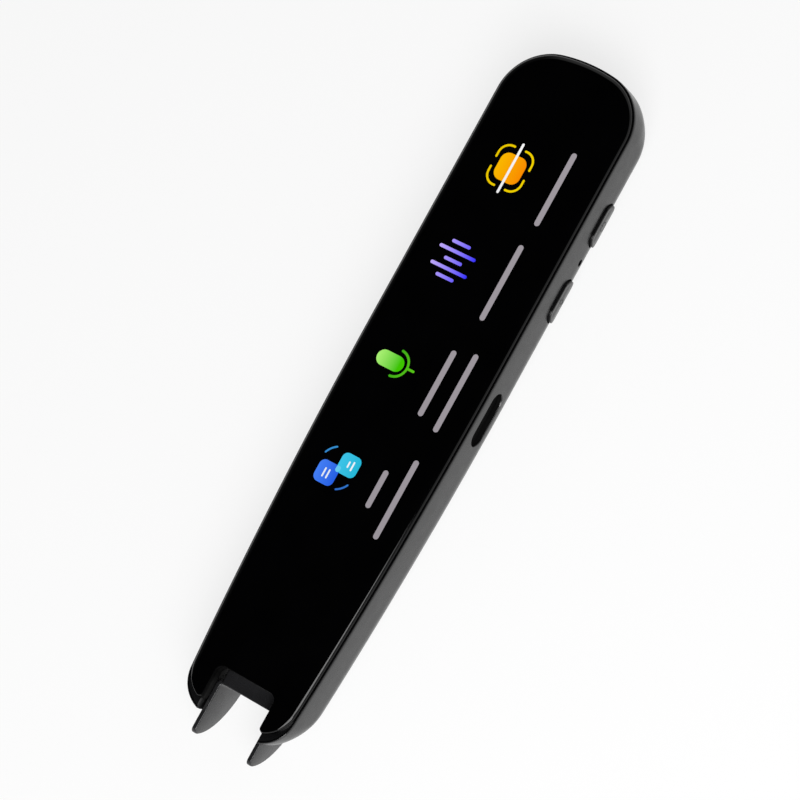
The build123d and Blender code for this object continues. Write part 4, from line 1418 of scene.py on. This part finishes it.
@dataclass(frozen=True)
class Inside:
    """Finishes of the CAD nodes that keep their own shape."""

    def table(self) -> dict[str, Finish]:
        """Which finish each node takes.

        Returns:
            Finish by node name.
        """
        steel = Brushed("steel_bright", (0.62, 0.62, 0.63), roughness=0.25, metallic=1.0,
                        grain=0.3, relief=0.002)
        screw = Brushed("steel_screw", (0.40, 0.40, 0.42), roughness=0.3, metallic=1.0,
                        grain=0.2, relief=0.003, stretch=(1, 1, 0.05))
        board = Board("board_green", (0.012, 0.055, 0.02), roughness=0.35, grain=0.3)
        chip = Finish("chip_black", (0.015, 0.015, 0.016), roughness=0.45, grain=0.2)
        pouch = Foil("pouch_foil", (0.45, 0.45, 0.47), roughness=0.3, metallic=0.9)
        tape = Foil("tape_black", (0.012, 0.012, 0.012), roughness=0.5, wrinkle=1.5, depth=0.03)
        amber = Foil("flex_amber", (0.30, 0.12, 0.02), roughness=0.3, wrinkle=1.2, depth=0.02)
        copper = Brushed("copper_foil", (0.75, 0.36, 0.2), roughness=0.3, metallic=1.0, grain=0.3)
        socket = Finish("socket_black", (0.010, 0.010, 0.010), roughness=0.42, grain=0.15)
        port = Ported("port_plated", (0.6, 0.6, 0.61), roughness=0.22, grain=0.25, relief=0.002,
                      centre=(3.0, 6.5), half=(3.36, 0.36))
        jack = Finish("jack_black", (0.006, 0.006, 0.006), roughness=0.3, grain=0.15)
        lens = Clear("lens_glass", (0.55, 0.6, 0.75), roughness=0.03)
        lamp = Clear("lamp_lens", (0.9, 0.88, 0.7), roughness=0.15)
        screen = Finish("display_glass", (0.002, 0.002, 0.003), roughness=0.12, grain=3.0)
        groups = (
            (FRAME, "mid_frame"), (screen, "display_panel"), (amber, "display_flex"),
            (board, "main_board io_board switch_board lamp_board"),
            (steel, "shield_can card_socket guide_pins"),
            (chip, "processor speaker microphone camera_module"), (port, "usb_c_port"),
            (jack, "audio_jack"), (pouch, "battery"), (tape, "battery_pad speaker_gasket"),
            (CLOTH, "speaker_mesh"), (WINDOW, "scan_window"), (lens, "camera_lens"),
            (socket, "power_plunger voice_plunger side_switches scan_carrier tip_switch"),
            (lamp, "scan_lamps"), (screw, "case_screws board_screws"), (copper, "wifi_antenna"))
        return {name: finish for finish, names in groups for name in names.split()}

    def dress(self, nodes: dict[str, Piece]) -> None:
        """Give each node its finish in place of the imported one.

        Args:
            nodes: the frame's nodes by name.
        """
        table = self.table()
        for name, finish in table.items():
            nodes[name].data.materials.clear()
            nodes[name].data.materials.append(finish.build())
        log.info("%d nodes dressed", len(table))


# ---------------------------------------------------------------- studio


@dataclass(frozen=True)
class Studio:
    """Pale floor, soft light and the camera."""

    place: Triple = (220.72, -35.56, 492.00)
    turn: Triple = (15.76779, 19.79582, 30.79443)
    lens: float = 125.498
    lamp_place: Triple = (380.0, -300.0, 560.0)
    lamp_aim: Triple = (0.0, 0.0, 5.0)
    lamp_size: float = 460.0
    lamp_power: float = 6.0
    floor_size: float = 6000.0
    floor_z: float = -0.02
    floor_glow: float = 0.78
    skirting: Pair = (0.08, 0.22)
    ceiling: Pair = (0.60, 0.70)
    far_side: Pair = (-0.62, -0.44)
    lit: float = 0.8
    dim: float = 0.10

    def build(self) -> None:
        """Make the floor, the world, the lamp and the camera."""
        scene = bpy.context.scene
        self.floor()
        self.world()
        self.lamp()
        data = bpy.data.cameras.new("camera")
        data.lens = self.lens
        data.sensor_width = 36.0
        data.clip_start = 0.01
        camera = bpy.data.objects.new("camera", data)
        camera.location = [value * MM for value in self.place]
        camera.rotation_euler = [math.radians(value) for value in self.turn]
        scene.collection.objects.link(camera)
        scene.camera = camera
        scene.view_settings.view_transform = "Standard"

    def floor(self) -> None:
        """A wide pale floor that looks white and still takes the shadow.

        It glows by a share for rays from the camera, off gloss or through glass, and not for
        the rest.
        """
        run = np.linspace(-1, 1, 9)
        grid = np.stack(np.meshgrid(run, run), -1) * self.floor_size / 2
        points = np.concatenate([grid, np.full((9, 9, 1), self.floor_z)], -1)
        floor = make("floor", [sheet_of(points)], closed=False)
        material = bpy.data.materials.new("floor_pale")
        material.use_nodes = True
        bench = Bench(material.node_tree)
        bench.tree.nodes.clear()
        path = bench.add("LightPath")
        seen = path.outputs["Is Camera Ray"]
        for ray in ("Is Glossy Ray", "Is Transmission Ray"):
            seen = bench.work("MAXIMUM", seen, path.outputs[ray])
        paint = bench.add("BsdfDiffuse", Color=(0.86, 0.86, 0.86, 1))
        glow = bench.add("Emission", Color=(1, 1, 1, 1), Strength=1.0)
        mix = bench.add("MixShader", n0=bench.work("MULTIPLY", seen, self.floor_glow),
                        n1=paint.outputs[0], n2=glow.outputs[0])
        bench.add("OutputMaterial", Surface=mix.outputs[0])
        floor.data.materials.append(material)

    def world(self) -> None:
        """A room: pale near the floor, lit walls but for the one at -X, and a dark ceiling.

        The brightness is the greater of the pale skirting, which ends a little above the floor's
        height, and the wall's level, which ends at the ceiling's height and falls off on the
        far side.
        """
        world = bpy.data.worlds.new("room")
        bpy.context.scene.world = world
        world.use_nodes = True
        bench = Bench(world.node_tree)
        bench.tree.nodes.clear()
        place = bench.add("TexCoord").outputs["Generated"]
        split = bench.add("SeparateXYZ", Vector=place)
        skirting, ceiling, wall = (
            bench.add("MapRange", Value=split.outputs[axis], From_Min=ends[0], From_Max=ends[1],
                      To_Min=start, To_Max=stop).outputs["Result"]
            for axis, ends, start, stop in (("Z", self.skirting, 1.0, 0.0),
                                            ("Z", self.ceiling, 1.0, 0.0),
                                            ("X", self.far_side, self.dim, self.lit)))
        level = bench.work("MAXIMUM", bench.work("MULTIPLY", wall, ceiling), skirting)
        light = bench.add("Background", Color=(1, 1, 1, 1), Strength=level)
        bench.add("OutputWorld", Surface=light.outputs[0])

    def lamp(self) -> None:
        """A square soft lamp turned to face the pen."""
        data = bpy.data.lights.new("key", "AREA")
        data.size = self.lamp_size * MM
        data.energy = self.lamp_power
        lamp = bpy.data.objects.new("key", data)
        lamp.location = [value * MM for value in self.lamp_place]
        away = unit(np.subtract(self.lamp_place, self.lamp_aim))
        lamp.rotation_euler = (math.acos(away[2]), 0, math.atan2(away[1], away[0]) + math.pi / 2)
        bpy.context.scene.collection.objects.link(lamp)


# ---------------------------------------------------------------- assembly


def fit(piece: Piece, body: str, slot: str, finish: Finish, *nodes: str) -> Piece:
    """Finish a piece, hang it on its body and let it stand for CAD nodes.

    Args:
        piece: the new piece.
        body: the body that it moves with.
        slot: the name of a material slot; not used.
        finish: its finish.
        nodes: the CAD nodes that it stands for.
    Returns:
        The same piece.
    """
    piece.data.materials.clear()
    piece.data.materials.append(finish.build())
    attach(piece, body)
    if nodes:
        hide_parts(*nodes)
    log.info("%s: %d faces on %s", piece.name, len(piece.data.polygons), body)
    return piece


def main() -> None:
    """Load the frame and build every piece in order."""
    logging.basicConfig(level=logging.INFO, format="%(name)s: %(message)s")
    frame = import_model()
    form = CaseForm()
    Studio().build()
    Inside().dress(frame["nodes"])
    shell, glass, springs = RearShell(form), FrontGlass(form), HoodSprings()
    piece = fit(shell.build(), "housing", "shell_plastic", SHELL, "rear_shell")
    # Painted shade on the shell's notch walls and in its side scoop and slit.
    for place in shell.dark:
        paint_shade_on(piece, PAINTED_SHADE, *place)
    piece = fit(glass.build(), "housing", "front_glass", GLASS, "front_glass")
    # Painted shade on the glass's notch edges and lobes.
    paint_shade_on(piece, PAINTED_SHADE, *glass.dark)
    for piece in ScreenArt().build():
        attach(piece, "housing")
    fit(ScanHood().build(), "hood", "hood_plastic", HOOD, "scan_hood")
    springs.follow(fit(springs.build(), "housing", "spring_steel", SPRING, "hood_springs"))
    for name, y, mark in (("power", shell.key_y[0], Mark.POWER),
                          ("voice", shell.key_y[1], Mark.VOICE)):
        button = SideButton(form, name, y, mark)
        body = f"{name}_button"
        fit(button.build(), body, "button_plastic", BUTTON, body)
        fit(button.mark_piece(), body, "button_plastic", MARK)


if __name__ == "__main__":
    main()
